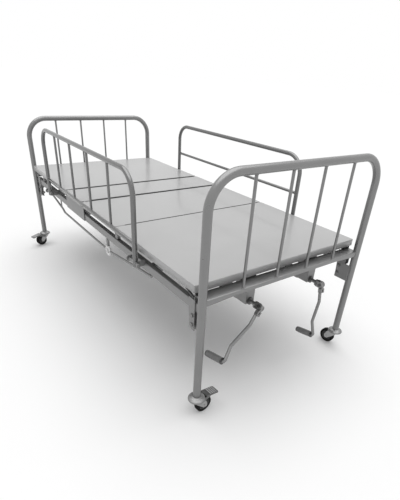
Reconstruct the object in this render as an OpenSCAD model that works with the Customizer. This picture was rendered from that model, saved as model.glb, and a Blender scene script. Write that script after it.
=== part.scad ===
// Manual two-crank hospital bed.
// The foot end with the cranks is +X, the head end is -X, the near side is -Y and the floor is z = 0.
// Two hoops on casters carry a frame, a deck in four sections, two fold-down side rails and two
// crank drives. Each drive is a screw that pulls or pushes a tube, whose pin works a slotted lever.

/* [Bed ends] */
// Distance from the middle of the bed to each hoop, along X
end_x = 1029; // [1015:1:1060]
// Distance from the middle of the bed to each leg, along Y
leg_y = 450; // [446:1:456]
// Outer diameter of the hoop tube
hoop_d = 32; // [30:1:34]
// Centreline radius of the hoop bends
hoop_bend = 120; // [90:1:140]
// Height of the centreline of the foot hoop's top
foot_top = 981; // [900:1:1050]
// Height of the centreline of the head hoop's top
head_top = 893; // [860:1:1050]
// Diameter of the upright bars in the hoops
bar_d = 12; // [10:1:14]

/* [Frame] */
// Height of the top of the side members
member_top = 512; // [508:1:516]
// Height of each side member
member_h = 38; // [34:1:42]
// Wall of the frame tubes
frame_wall = 2; // [1.5:0.5:3]
// Height of the top of the end cross members
cross_top = 547; // [545:1:549]

/* [Deck] */
// Height of the deck's top
deck_top = 592; // [590:1:596]
// Half width of the deck
deck_half = 459.5; // [458:0.5:461]
// Depth of the folded lip round each section
lip_h = 31; // [28:1:32]
// Thickness of the sheet
sheet = 2; // [1.5:0.5:2.5]
// Foot end of the deck
deck_foot = 991; // [980:1:995]
// Head end of the deck
deck_head = -1010; // [-1011:1:-1000]

/* [Moving sections] */
// Place along X of the backrest hinge
back_x = -333; // [-345:1:-325]
// Place along X of the thigh hinge
thigh_x = -82; // [-90:1:-75]
// Place along X of the knee hinge
knee_x = 341; // [330:1:350]
// Depth of the backrest and thigh hinge pins below the deck's top
hinge_drop = 8; // [7:0.5:9]
// Diameter of the section hinge pins
pin_d = 8; // [6:0.5:10]

/* [Cranks] */
// Distance from the middle of the bed to each crank, along Y
crank_y = 185; // [180:1:190]
// Height of the cranks and their screws
crank_z = 450; // [448:1:452]
// Swing of the backrest crank's arm from hanging, toward +Y
back_swing = -47.7; // [-60:0.1:60]
// Swing of the knee crank's arm from hanging, toward +Y
knee_swing = -3.5; // [-60:0.1:60]
// Diameter of the bent crank rod
arm_d = 14; // [12:1:14]

/* [Side rails] */
// Distance from the middle of the bed to each side rail, along Y
rail_y = 481; // [479:1:486]
// Diameter of the rail tube
rail_d = 22; // [20:1:22]
// Centreline radius of the rail bends
rail_bend = 95; // [70:1:110]
// Height of the centreline of the rails' top
rail_top = 892; // [860:1:900]

/* [Casters] */
// Diameter of the caster wheels
wheel_d = 75; // [70:1:75]
// Width of the tyres
wheel_w = 25; // [20:1:26]
// Distance from the swivel axis to the wheel axle
trail = 36; // [33:1:38]

/* [Hidden] */
$fn = 48;

// The bed is drawn about the middle between its hoops, then moved so that the origin lies
// below the middle of its outer box.
place_x = -14.76;
place_y = 17.13;

// Radial clearance of every running fit, and the gap between faces that pass each other
run_gap = 0.05;
side_gap = 0.3;
corner_bead = 0.4;

hoop_r = hoop_d / 2;
hoop_wall = 2;
leg_bottom = 98;
bar_rows = [-263, -87, 87, 263];
cross_w = 62;
cross_front = end_x + 7;
cross_wall = 3;
// The cross members stand on the corner plates, and their outer flange is cut away between the legs
cross_bottom = 523;
flange_h = 17;
flange_cut = [300, 420];

member_w = 25;
member_out = 443;
member_end = end_x - 23;
member_bottom = member_top - member_h;
cross_tube_w = 40;
cross_tube_h = 28;
cross_tube_top = member_top;
cross_tube_rows = [-620, -185, 632];
post_w = 28;
post_depth = 16;
post_rows = [-880, 294];

plate_t = 4;
plate_inner = end_x - 89;
plate_outer = end_x - 48;
leg_plate_inner = end_x - 73;
plate_bottom = 389;
corner_bolt_spots = [[end_x - 62, 412], [end_x - 62, 452]];
bolt_r = 5;
bolt_head_r = 8;
leg_plate_t = 6;

lip_bottom = deck_top - lip_h;
hinge_z = deck_top - hinge_drop;
knee_z = lip_bottom - 1;
wide_gap = 16;
knee_gap = 5;
hinge_zone = 22;
lug_r = 7.5;
lug_t = 4;
inner_lug_y = member_out;
outer_lug_y = member_out + lug_t + 2;
pin_r = pin_d / 2;
rib_w = 40;
rib_h = 20;
rib_half = deck_half - hinge_zone - 0.5;
back_ribs = [-880, -680, -480];
thigh_ribs = [120, 294];
calf_ribs = [480, 680, 880];

shaft_r = 8;
thread_r = 10;
thread_root = 7.6;
pitch = 6;
bracket_back = 925;
bracket_front = 995;
bracket_bottom = 439;
bracket_w = 45;
bracket_wall = 4;
bracket_flange = [145, 228];
knuckle_x = end_x + 26;
housing_r = 24;
housing_wall = 3;
housing_end = 600;
nut_l = 40;
nut_r = housing_r - housing_wall - 0.5;
push_r = 16;
push_wall = 3;
yoke_l = 100;
yoke_slot = 12.6;
yoke_slot_l = 80;
yoke_pin_r = 6;
lever_t = 10;
lever_half = 20;
drive_drop = hinge_z - crank_z;
// Where the two drive pins lie at rest, along X, and where their nuts are
back_pin_x = back_x + 90.4;
knee_pin_x = thigh_x - 41.9;
back_nut_x = 860;
knee_nut_x = 780;
back_slot_tilt = 35;
knee_slot_tilt = 17.5;
back_slot_w = 18.4;
knee_slot_w = 13.3;

arm_r = arm_d / 2;
fold_tilt = 11.3;
arm_runs = [[80, 0], [107, -29], [67, 11]];
grip_base = 10;
grip_l = 80;
grip_r = 14;
spindle_r = 4;
crank_pin_r = 5;
eye_r = 14;
eye_t = 12;
cheek_t = 5;
block = [16, 36];
block_side = [-3, 13];
block_half = eye_t / 2 + 0.5 + cheek_t;

rail_mid = -4;
rail_half = 584;
rail_bottom = 499;
rail_pivot_z = 512;
rail_wall = 1.5;
rail_bar_r = 6;
rail_low_z = 600;
far_bar_z = 703;
ear_t = 4;
ear_low = 14;
ear_reach = 63;

rod_r = 6;
rod_y = -439;
rod_end_drop = 8;
rod_path = [[-705, member_bottom - rod_end_drop], [-507, 424], [-478, 410], [167, 410]];
rod_tail = [[211, 410], [647, member_bottom - rod_end_drop]];
rod_strut = [-530, 430];
rod_ring_x = 189;
rod_ring_r = 22;
rod_ring_wire = 6.5;

wheel_r = wheel_d / 2;
hub_r = 26;
axle_r = 4;
stem_r = 5.5;
dome_r = 36;
dome_rim = 82;
crown_top = 80;
crown_bottom = 77;
crown_r = 24;
fork_t = 3;
fork_in = wheel_w / 2 + 3;
pedal_pivot = [8, 66];
pedal_pivot_r = 3;
pedal_reach = 105;
pedal_drop = 12;
pedal_w = 42;
pedal_arm_t = 2.2;
// Azimuth of each caster's trail
near_foot_turn = 95;
far_foot_turn = 186;
near_head_turn = 285;
far_head_turn = 78;

// Point [x, z] of the XZ plane in space
function flat(p) = [p.x, 0, p.y];

// Shared shapes

module place() {
    translate([place_x, place_y, 0]) children();
}

module both_sides() {
    children();
    mirror([0, 1, 0]) children();
}

module both_ends() {
    children();
    mirror([1, 0, 0]) children();
}

// Round rod from point a to point b
module rod(a, b, r) {
    d = b - a;
    translate(a) rotate([0, acos(d.z / norm(d)), atan2(d.y, d.x)]) cylinder(h = norm(d), r = r);
}

// Round rod along a path of [x, z] points. Every corner is a ball a little fatter than the rod.
module bent_rod(path, r) {
    for (i = [0:len(path) - 2]) {
        rod(flat(path[i]), flat(path[i + 1]), r);
    }
    if (len(path) > 2) for (i = [1:len(path) - 2]) {
        translate(flat(path[i])) sphere(r = r + corner_bead);
    }
}

// Cylinder along X from x0 to x1
module x_cyl(x0, x1, r) {
    translate([x0, 0, 0]) rotate([0, 90, 0]) cylinder(h = x1 - x0, r = r);
}

// Cylinder along Y from y0 to y1
module y_cyl(y0, y1, r) {
    translate([0, y0, 0]) rotate([-90, 0, 0]) cylinder(h = y1 - y0, r = r);
}

// Plate of outline children() in the XZ plane, from y0 to y1
module y_plate(y0, y1) {
    translate([0, y1, 0]) rotate([90, 0, 0]) linear_extrude(height = y1 - y0) children();
}

// Upside-down U of round rod in the YZ plane
module u_rod(half, bottom, top, r, bend) {
    both_sides() {
        translate([0, half, bottom]) cylinder(h = top - bend - bottom, r = r);
        translate([0, half - bend, top - bend]) rotate([90, 0, 90])
            rotate_extrude(angle = 90) translate([bend, 0]) circle(r = r);
    }
    translate([0, 0, top]) y_cyl(bend - half, half - bend, r);
}

// The same U as a tube, open at its feet
module u_tube(half, bottom, top, r, bend, wall) {
    difference() {
        u_rod(half, bottom, top, r, bend);
        u_rod(half, bottom - 1, top, r - wall, bend);
    }
}

// Bed ends

module hoop(top) {
    translate([end_x, 0, 0]) u_tube(leg_y, leg_bottom, top, hoop_r, hoop_bend, hoop_wall);
}

module hoop_bars(top) {
    difference() {
        for (y = bar_rows) {
            translate([end_x, y, cross_top]) cylinder(h = top - cross_top, r = bar_d / 2);
        }
        translate([end_x, 0, top]) y_cyl(-leg_y, leg_y, hoop_r);
    }
}

// Channel across the end, open below, notched round the legs
module end_channel() {
    half = leg_y - 4;
    h = cross_top - cross_bottom;
    difference() {
        translate([cross_front - cross_w, -half, cross_bottom]) cube([cross_w, 2 * half, h]);
        translate([cross_front - cross_w + cross_wall, -half - 1, cross_bottom - 1])
            cube([cross_w - 2 * cross_wall, 2 * half + 2, h - cross_wall + 1]);
        translate([cross_front - cross_wall - 1, 0, cross_top]) rotate([90, 0, 90])
            linear_extrude(height = cross_wall + 2) polygon([
                [-flange_cut[1], -h - 1], [-flange_cut[0], -flange_h], [flange_cut[0], -flange_h], [flange_cut[1], -h - 1]
            ]);
        both_sides() translate([end_x, leg_y, 0]) cylinder(h = foot_top, r = hoop_r);
    }
}

module head_hoop() {
    color("gainsboro") place() mirror([1, 0, 0]) hoop(head_top);
}

module foot_hoop() {
    color("gainsboro") place() hoop(foot_top);
}

module head_bars() {
    color("gainsboro") place() mirror([1, 0, 0]) hoop_bars(head_top);
}

module foot_bars() {
    color("gainsboro") place() hoop_bars(foot_top);
}

module head_cross_member() {
    color("gainsboro") place() mirror([1, 0, 0]) end_channel();
}

module foot_cross_member() {
    color("gainsboro") place() end_channel();
}

// Frame

// Rectangular tube along the side
module side_member() {
    difference() {
        translate([-member_end, member_out - member_w, member_bottom]) cube([2 * member_end, member_w, member_h]);
        translate([-member_end - 1, member_out - member_w + frame_wall, member_bottom + frame_wall])
            cube([2 * member_end + 2, member_w - 2 * frame_wall, member_h - 2 * frame_wall]);
    }
}

module near_side_member() {
    color("gainsboro") place() mirror([0, 1, 0]) side_member();
}

module far_side_member() {
    color("gainsboro") place() side_member();
}

// Tubes between the side members, and the posts on the members that carry the ribs of the
// lowered backrest and thigh section
module frame_cross_tubes() {
    half = member_out - member_w;
    color("silver") place() both_sides() for (x = post_rows) {
        translate([x - post_w / 2, rib_half - post_depth, member_top])
            cube([post_w, post_depth, deck_top - sheet - rib_h - 0.5 - member_top]);
    }
    color("silver") place() for (x = cross_tube_rows) {
        difference() {
            translate([x - cross_tube_w / 2, -half, cross_tube_top - cross_tube_h])
                cube([cross_tube_w, 2 * half, cross_tube_h]);
            translate([x - cross_tube_w / 2 + frame_wall, -half - 1, cross_tube_top - cross_tube_h + frame_wall])
                cube([cross_tube_w - 2 * frame_wall, 2 * half + 2, cross_tube_h - 2 * frame_wall]);
        }
    }
}

// Plate welded outside the member, and the plate on the leg that it is bolted to
module corner_plate_pair() {
    difference() {
        y_plate(member_out, member_out + plate_t) polygon([
            [plate_inner, cross_bottom], [plate_outer, cross_bottom], [plate_outer, plate_bottom],
            [plate_inner + 26, plate_bottom], [plate_inner + 12, plate_bottom + 8], [plate_inner + 8, plate_bottom + 22]
        ]);
        corner_bolt_holes();
    }
    difference() {
        translate([leg_plate_inner, leg_y - hoop_r - leg_plate_t + 1, plate_bottom])
            cube([end_x - leg_plate_inner, leg_plate_t, member_bottom - plate_bottom - 4]);
        translate([end_x, leg_y, 0]) cylinder(h = foot_top, r = hoop_r);
        corner_bolt_holes();
    }
}

module corner_bolt_holes() {
    for (p = corner_bolt_spots) {
        translate([p.x, 0, p.y]) y_cyl(member_out - member_w, member_out + member_w, bolt_r);
    }
}

module corner_plates() {
    color("silver") place() both_ends() both_sides() corner_plate_pair();
}

// Bolt along Y with a spacer between the two plates and a nut inside
module corner_bolt() {
    inner = leg_y - hoop_r + 1;
    outer = member_out + plate_t;
    y_cyl(inner - leg_plate_t - 10, outer + 2, bolt_r);
    y_cyl(inner, member_out, bolt_head_r);
    y_cyl(outer, outer + 5, bolt_head_r);
    y_cyl(inner - leg_plate_t - 7, inner - leg_plate_t, bolt_head_r);
}

// Bolt along X on which a side rail's post folds
module rail_bolt(x) {
    reach = rail_d / 2 + 1 + ear_t;
    translate([x, rail_y, rail_pivot_z]) {
        x_cyl(-ear_reach - 9, reach + 20, pin_r);
        x_cyl(reach, reach + 18, bolt_head_r + 2);
        x_cyl(-ear_reach - 6, -ear_reach, bolt_head_r);
        x_cyl(ear_t - ear_reach, -rail_d / 2 - side_gap, pin_r + 2);
    }
}

module frame_bolts() {
    color("dimgray") place() {
        both_ends() both_sides() for (p = corner_bolt_spots) {
            translate([p.x, 0, p.y]) corner_bolt();
        }
        both_sides() for (s = [-1, 1]) {
            rail_bolt(rail_mid + s * rail_half);
        }
    }
}

// Plate beside the fixed seat, with an ear for each hinge pin
module seat_side_plate() {
    difference() {
        y_plate(member_out, member_out + plate_t) {
            polygon([
                [back_x - 54, member_bottom], [thigh_x - 24, member_bottom], [thigh_x - 24, lip_bottom - 12],
                [thigh_x + lug_r, hinge_z - 3], [thigh_x - wide_gap / 2, hinge_z], [thigh_x - wide_gap / 2 - sheet, deck_top - sheet],
                [back_x + wide_gap / 2 + sheet, deck_top - sheet], [back_x + wide_gap / 2, hinge_z],
                [back_x - lug_r, hinge_z - 3], [back_x - 54, lip_bottom - 8]
            ]);
            translate([back_x, hinge_z]) circle(r = lug_r);
            translate([thigh_x, hinge_z]) circle(r = lug_r);
        }
        for (x = [back_x, thigh_x]) {
            translate([x, 0, hinge_z]) y_cyl(member_out - 1, member_out + plate_t + 1, pin_r);
        }
    }
}

module seat_side_plates() {
    color("silver") place() both_sides() seat_side_plate();
}

// Pin through an inner and an outer lug, with its head outside
module section_pin() {
    y_cyl(inner_lug_y - 3, outer_lug_y + lug_t + side_gap, pin_r);
    y_cyl(outer_lug_y + lug_t + side_gap, outer_lug_y + lug_t + 3, pin_r + 2);
    y_cyl(inner_lug_y - 3, inner_lug_y, pin_r + 2);
}

module section_hinge_pins() {
    color("dimgray") place() both_sides() for (x = [back_x, thigh_x]) {
        translate([x, 0, hinge_z]) section_pin();
    }
}

module deck_buffers() {
    h = lip_bottom - 0.5 - cross_top;
    color("black") place() both_sides() {
        both_ends() translate([970, 402, cross_top]) cube([20, 42, h]);
        translate([bracket_back + 10, bracket_flange[1] - 45, cross_top]) cube([32, 42, h]);
    }
}

// Deck

// Folded sheet section from x0 to x1. Its cross lips stop short of the hinge plates.
module pan(x0, x1, hinged_head, hinged_foot) {
    inner = deck_half - sheet;
    hollow = lip_h - sheet + 1;
    difference() {
        translate([x0, -deck_half, lip_bottom]) cube([x1 - x0, 2 * deck_half, lip_h]);
        translate([x0 + sheet, -inner, lip_bottom - 1]) cube([x1 - x0 - 2 * sheet, 2 * inner, hollow]);
        both_sides() {
            if (hinged_head) translate([x0 - 1, deck_half - hinge_zone, lip_bottom - 1])
                cube([sheet + 2, hinge_zone - sheet, hollow]);
            if (hinged_foot) translate([x1 - sheet - 1, deck_half - hinge_zone, lip_bottom - 1])
                cube([sheet + 2, hinge_zone - sheet, hollow]);
        }
    }
}

// Channel-shaped cross ribs under a section, open toward the sheet
module ribs(rows) {
    bottom = deck_top - sheet - rib_h;
    for (x = rows) {
        difference() {
            translate([x - rib_w / 2, -rib_half, bottom]) cube([rib_w, 2 * rib_half, rib_h]);
            translate([x - rib_w / 2 + sheet, -rib_half - 1, bottom + sheet])
                cube([rib_w - 2 * sheet, 2 * rib_half + 2, rib_h]);
        }
    }
}

module backrest_section() {
    color("gainsboro") place() pan(deck_head, back_x - wide_gap / 2, false, true);
}

module seat_section() {
    color("gainsboro") place() pan(back_x + wide_gap / 2, thigh_x - wide_gap / 2, true, true);
}

module thigh_section() {
    color("gainsboro") place() pan(thigh_x + wide_gap / 2, knee_x - knee_gap / 2, true, true);
}

module calf_section() {
    color("gainsboro") place() pan(knee_x + knee_gap / 2, deck_foot, true, false);
}

// Hinge lug under a section's edge, reaching run along X from the pin
module top_lug(run) {
    difference() {
        y_plate(outer_lug_y, outer_lug_y + lug_t) {
            polygon([[0, -lug_r], [run, -lug_r], [run, hinge_drop - sheet], [0, hinge_drop - sheet]]);
            circle(r = lug_r);
        }
        y_cyl(outer_lug_y - 1, outer_lug_y + lug_t + 1, pin_r + run_gap);
    }
}

// Hinge lug of the knee, hanging from the sheet to the pin below the lips
module knee_lug(y0, run, hole_r) {
    under = deck_top - sheet - knee_z;
    edge = sign(run) * knee_gap / 2;
    difference() {
        y_plate(y0, y0 + lug_t) {
            polygon([[edge, under], [run, under], [run, under - 12], [-edge / 5, -lug_r], [-edge, 4]]);
            circle(r = lug_r);
        }
        y_cyl(y0 - 1, y0 + lug_t + 1, hole_r);
    }
}

module backrest_underframe() {
    color("silver") place() {
        ribs(back_ribs);
        both_sides() translate([back_x, 0, hinge_z]) top_lug(-70);
    }
}

module thigh_underframe() {
    color("silver") place() {
        ribs(thigh_ribs);
        both_sides() {
            translate([thigh_x, 0, hinge_z]) top_lug(70);
            translate([knee_x, 0, knee_z]) knee_lug(inner_lug_y, -60, pin_r);
        }
    }
}

module calf_hinge_pins() {
    color("dimgray") place() both_sides() translate([knee_x, 0, knee_z]) section_pin();
}

// Bent strip under each foot corner of the calf section, on which it slides off its buffer
module calf_skid() {
    y_plate(deck_half - 11, deck_half - sheet - 1.5) polygon([
        [918, deck_top - sheet], [928, deck_top - sheet], [938, 556], [982, 541], [980, 537], [932, 553]
    ]);
}

module calf_underframe() {
    color("silver") place() {
        ribs(calf_ribs);
        both_sides() {
            translate([knee_x, 0, knee_z]) knee_lug(outer_lug_y, 60, pin_r + run_gap);
            calf_skid();
        }
    }
}

// Crank drives

// Slot along a radius of the hinge, tilted toward -X by tilt
module radial_slot(tilt, r0, r1, w) {
    rotate(-tilt) translate([-w / 2, -r1 - w / 2]) square([w, r1 - r0 + w]);
}

// Lever plate that hangs from a section beside its hinge, side = 1 toward +X and -1 toward -X
module lever_outline(side, tilt, r0, r1, w) {
    along = [side * sin(tilt), -cos(tilt)];
    across = [cos(tilt), side * sin(tilt)] * side * lever_half;
    neck = along * (r0 - 26);
    tip = along * (r1 + 8);
    end = along * (r1 + 22);
    under = hinge_drop - sheet;
    difference() {
        polygon([
            [-side * 64, under], [-side * 12, under], [-side * 12, -30], neck + across, tip + across,
            end + across * 0.5, end - across * 0.5, tip - across, neck - across * 1.4, [-side * 64, -30]
        ]);
        radial_slot(-side * tilt, r0, r1, w);
    }
}

module backrest_lever() {
    color("silver") place() translate([back_x, -crank_y, hinge_z]) y_plate(-lever_t / 2, lever_t / 2)
        lever_outline(1, back_slot_tilt, drive_drop - 1, 162.5, back_slot_w);
}

module knee_lever() {
    color("silver") place() translate([thigh_x, crank_y, hinge_z]) y_plate(-lever_t / 2, lever_t / 2)
        lever_outline(-1, knee_slot_tilt, drive_drop - 1, 141.5, knee_slot_w);
}

// Box of folded plate under the foot cross member, open below
// Folded box whose front plate stands up inside the channel, with a shelf behind the channel
module bearing_bracket() {
    shelf = cross_front - cross_w - bracket_back;
    difference() {
        union() {
            translate([bracket_back, -bracket_w / 2, bracket_bottom])
                cube([bracket_front - bracket_back, bracket_w, cross_bottom - bracket_bottom]);
            translate([bracket_back, -bracket_w / 2, cross_bottom]) cube([shelf, bracket_w, cross_top - cross_bottom]);
            translate([bracket_back, bracket_flange[0] - crank_y, cross_top - bracket_wall])
                cube([shelf, bracket_flange[1] - bracket_flange[0], bracket_wall]);
            translate([bracket_front - bracket_wall, -bracket_w / 2, cross_bottom])
                cube([bracket_wall, bracket_w, cross_top - cross_wall - cross_bottom]);
        }
        translate([bracket_back + bracket_wall, -bracket_w / 2 + bracket_wall, bracket_bottom - 1])
            cube([bracket_front - bracket_back - 2 * bracket_wall, bracket_w - 2 * bracket_wall,
                cross_bottom - bracket_wall - bracket_bottom + 1]);
        translate([0, 0, crank_z]) x_cyl(bracket_back - 1, bracket_front + 1, shaft_r + 4);
    }
}

module crank_bearing_brackets() {
    color("gainsboro") place() both_sides() translate([0, crank_y, 0]) bearing_bracket();
}

// Flanged bushes in the front and back plates of the bracket
module bushing_pair() {
    difference() {
        union() {
            x_cyl(bracket_front - bracket_wall, bracket_front, shaft_r + 4);
            x_cyl(bracket_front, bracket_front + 5, shaft_r + 8);
            x_cyl(bracket_back, bracket_back + bracket_wall, shaft_r + 4);
            x_cyl(bracket_back + bracket_wall, bracket_back + bracket_wall + 3, shaft_r + 8);
        }
        x_cyl(bracket_back - 1, bracket_front + 6, shaft_r + run_gap);
    }
}

module crank_bushings() {
    color("dimgray") place() both_sides() translate([0, crank_y, crank_z]) bushing_pair();
}

// Tube round the screw, with a window on its outer side, a guide ring and a hanger to the frame
module drive_housing() {
    hanger_x = cross_tube_rows[2];
    difference() {
        union() {
            x_cyl(housing_end, bracket_back, housing_r);
            translate([hanger_x - 15, -12, 0]) cube([30, 24, cross_tube_top - cross_tube_h - crank_z]);
        }
        x_cyl(housing_end + 20, bracket_back + 1, housing_r - housing_wall);
        x_cyl(housing_end - 1, housing_end + 21, push_r + run_gap);
        translate([housing_end + 50, 0, -9]) cube([250, housing_r + 5, 18]);
    }
}

module drive_housings() {
    color("gainsboro") place() both_sides() translate([0, crank_y, crank_z]) drive_housing();
}

// Crank shaft, thrust collar, thread and the two-cheeked knuckle
module screw(y, swing) {
    turns = 48;
    x_start = bracket_back - 12 - turns * pitch;
    translate([0, y, crank_z]) {
        x_cyl(bracket_back - 12, knuckle_x - 22, shaft_r);
        x_cyl(bracket_back + 20, bracket_back + 28, shaft_r + 6);
        translate([x_start, 0, 0]) rotate([0, 90, 0]) rotate_extrude() polygon(concat(
            [[0, 0]],
            [for (i = [0:turns - 1], p = [[thread_root, 0], [thread_r, 1.6], [thread_r, 3], [thread_root, 4.6]])
                [p.x, p.y + i * pitch]],
            [[thread_root, turns * pitch + 2], [0, turns * pitch + 2]]
        ));
    }
    translate([knuckle_x, y, crank_z]) rotate([swing, 0, 0]) {
        x_cyl(-26, -17, eye_r + 1);
        both_sides() y_plate(eye_t / 2 + 0.5, block_half) difference() {
            union() {
                translate([-20, 1 - eye_r]) square([20, 2 * eye_r - 2]);
                circle(r = eye_r);
            }
            circle(r = crank_pin_r);
        }
    }
}

module crank_pin(y, swing) {
    translate([knuckle_x, y, crank_z]) rotate([swing, 0, 0]) {
        y_cyl(-block_half, block_half, crank_pin_r);
        both_sides() y_cyl(block_half, block_half + 3, crank_pin_r + 2);
    }
}

// Point of the folded arm, a along it and b away from the bed, as [x, z] in its own plane
function arm_point(a, b) = [a * sin(fold_tilt) + b * cos(fold_tilt), -a * cos(fold_tilt) + b * sin(fold_tilt)];
function arm_sum(n) = n < 0 ? [0, 0] : arm_runs[n] + arm_sum(n - 1);
arm_end = arm_sum(2);
function on_arm(p) = arm_point(p.x, p.y);
function on_spindle(l) = arm_point(arm_end.x, arm_end.y - l);

// Arm with a flat tongue on the pin and a windowed block from which the bent rod starts
module crank_arm(y, swing) {
    translate([knuckle_x, y, crank_z]) rotate([swing, 0, 0]) {
        difference() {
            union() {
                y_cyl(-eye_t / 2, eye_t / 2, eye_r);
                rotate([0, -fold_tilt, 0]) {
                    translate([block_side[0], 0.5 - eye_t / 2, -block[0] - 4])
                        cube([block_side[1] - block_side[0], eye_t - 1, block[0] + 4]);
                    translate([block_side[0], -block_half, -block[1]])
                        cube([block_side[1] - block_side[0], 2 * block_half, block[1] - block[0]]);
                }
            }
            y_cyl(-eye_t, eye_t, crank_pin_r + run_gap);
            rotate([0, -fold_tilt, 0]) translate([-eye_r, -3.5, 5 - block[1]])
                cube([2 * eye_r, 7, block[1] - block[0] - 9]);
        }
        bent_rod([
            arm_point(block[1] - 4, 0), on_arm(arm_sum(0)), on_arm(arm_sum(1)), on_arm(arm_end), on_spindle(grip_base)
        ], arm_r);
        rod(flat(on_spindle(grip_base - 1)), flat(on_spindle(grip_base + 3)), grip_r);
        rod(flat(on_spindle(grip_base + 1)), flat(on_spindle(grip_base + grip_l + 6)), spindle_r);
        rod(flat(on_spindle(grip_base + grip_l + 4)), flat(on_spindle(grip_base + grip_l + 8)), grip_r - 2);
    }
}

// Grip turned round its spindle, slightly barrel shaped
module crank_grip(y, swing) {
    start = flat(on_spindle(grip_base + 3.5));
    translate([knuckle_x, y, crank_z]) rotate([swing, 0, 0]) translate(start) rotate([0, -90 - fold_tilt, 0])
        rotate_extrude() difference() {
            union() {
                translate([0, 2]) square([grip_r, grip_l - 4]);
                square([grip_r - 2, grip_l]);
                translate([grip_r - 2, 2]) circle(r = 2);
                translate([grip_r - 2, grip_l - 2]) circle(r = 2);
            }
            translate([-spindle_r, -1]) square([2 * spindle_r + run_gap, grip_l + 2]);
            translate([-grip_r, -1]) square([grip_r, grip_l + 2]);
        }
}

// Nut on the screw, with a key that slides in the housing's window
module drive_nut(y, x) {
    translate([x, y, crank_z]) difference() {
        union() {
            x_cyl(-nut_l / 2, nut_l / 2, nut_r);
            translate([-nut_l / 2, sign(y) > 0 ? 10 : -housing_r, -8]) cube([nut_l, housing_r - 10, 16]);
        }
        x_cyl(-nut_l, nut_l, thread_r + run_gap);
    }
}

// Tube from the nut to the forked end that holds the drive pin
module push_tube(y, nut_x, pin_x) {
    end = pin_x - 20;
    translate([0, y, crank_z]) difference() {
        x_cyl(end, nut_x - nut_l / 2, push_r);
        x_cyl(end + yoke_l, nut_x, push_r - push_wall);
        translate([end - 1, -yoke_slot / 2, -push_r - 1]) cube([yoke_slot_l + 1, yoke_slot, 2 * push_r + 2]);
        translate([pin_x, 0, 0]) y_cyl(-push_r - 1, push_r + 1, yoke_pin_r);
    }
}

module yoke_pin(y, pin_x) {
    translate([pin_x, y, crank_z]) {
        y_cyl(-push_r - 2, push_r + 2, yoke_pin_r);
        both_sides() y_cyl(push_r, push_r + 3, yoke_pin_r + 3);
    }
}

module backrest_screw() {
    color("silver") place() screw(-crank_y, back_swing);
}

module backrest_crank_pin() {
    color("dimgray") place() crank_pin(-crank_y, back_swing);
}

module backrest_crank_arm() {
    color("gainsboro") place() crank_arm(-crank_y, back_swing);
}

module backrest_crank_grip() {
    color("gray") place() crank_grip(-crank_y, back_swing);
}

module backrest_drive_nut() {
    color("goldenrod") place() drive_nut(-crank_y, back_nut_x);
}

module backrest_push_tube() {
    color("silver") place() push_tube(-crank_y, back_nut_x, back_pin_x);
}

module backrest_yoke_pin() {
    color("dimgray") place() yoke_pin(-crank_y, back_pin_x);
}

module knee_screw() {
    color("silver") place() screw(crank_y, knee_swing);
}

module knee_crank_pin() {
    color("dimgray") place() crank_pin(crank_y, knee_swing);
}

module knee_crank_arm() {
    color("gainsboro") place() crank_arm(crank_y, knee_swing);
}

module knee_crank_grip() {
    color("gray") place() crank_grip(crank_y, knee_swing);
}

module knee_drive_nut() {
    color("goldenrod") place() drive_nut(crank_y, knee_nut_x);
}

module knee_push_tube() {
    color("silver") place() push_tube(crank_y, knee_nut_x, knee_pin_x);
}

module knee_yoke_pin() {
    color("dimgray") place() yoke_pin(crank_y, knee_pin_x);
}

// Side rails

// Channel bracket on the side member, with two ears beside a rail post
module rail_bracket(x) {
    inner = rail_d / 2 + 1;
    difference() {
        union() {
            translate([x - ear_reach, member_out, rail_pivot_z - ear_low])
                cube([ear_reach + inner + ear_t, plate_t, ear_low]);
            for (e = [x - ear_reach, x + inner]) {
                translate([e, member_out, rail_pivot_z - ear_low]) cube([ear_t, rail_y - member_out, ear_low + 12]);
                translate([e, rail_y, rail_pivot_z]) x_cyl(0, ear_t, 12);
            }
        }
        translate([x, rail_y, rail_pivot_z]) x_cyl(-ear_reach - 1, inner + ear_t + 1, pin_r);
    }
}

module rail_brackets() {
    color("gainsboro") place() both_sides() for (s = [-1, 1]) {
        rail_bracket(rail_mid + s * rail_half);
    }
}

// The U of rail tube, drilled for its two bolts
module rail_tube() {
    difference() {
        rotate([0, 0, 90]) u_tube(rail_half, rail_bottom, rail_top, rail_d / 2, rail_bend, rail_wall);
        translate([0, 0, rail_pivot_z]) x_cyl(-rail_half - rail_d, rail_half + rail_d, pin_r + run_gap);
    }
}

// Bar along X between the posts
module long_bar(z) {
    difference() {
        translate([0, 0, z]) x_cyl(-rail_half, rail_half, rail_bar_r + 2);
        both_posts();
    }
}

module both_posts() {
    for (s = [-1, 1]) {
        translate([s * rail_half, 0, rail_bottom]) cylinder(h = rail_top - rail_bottom, r = rail_d / 2);
    }
}

module near_rail() {
    color("gainsboro") place() translate([rail_mid, -rail_y, 0]) {
        rail_tube();
        long_bar(rail_low_z);
        difference() {
            for (i = [1:4]) {
                translate([rail_half * (2 * i / 5 - 1), 0, rail_low_z])
                    cylinder(h = rail_top - rail_low_z, r = rail_bar_r);
            }
            translate([0, 0, rail_top]) x_cyl(-rail_half, rail_half, rail_d / 2);
        }
    }
}

module far_rail() {
    color("gainsboro") place() translate([rail_mid, rail_y, 0]) {
        rail_tube();
        long_bar(far_bar_z);
    }
}

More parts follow.
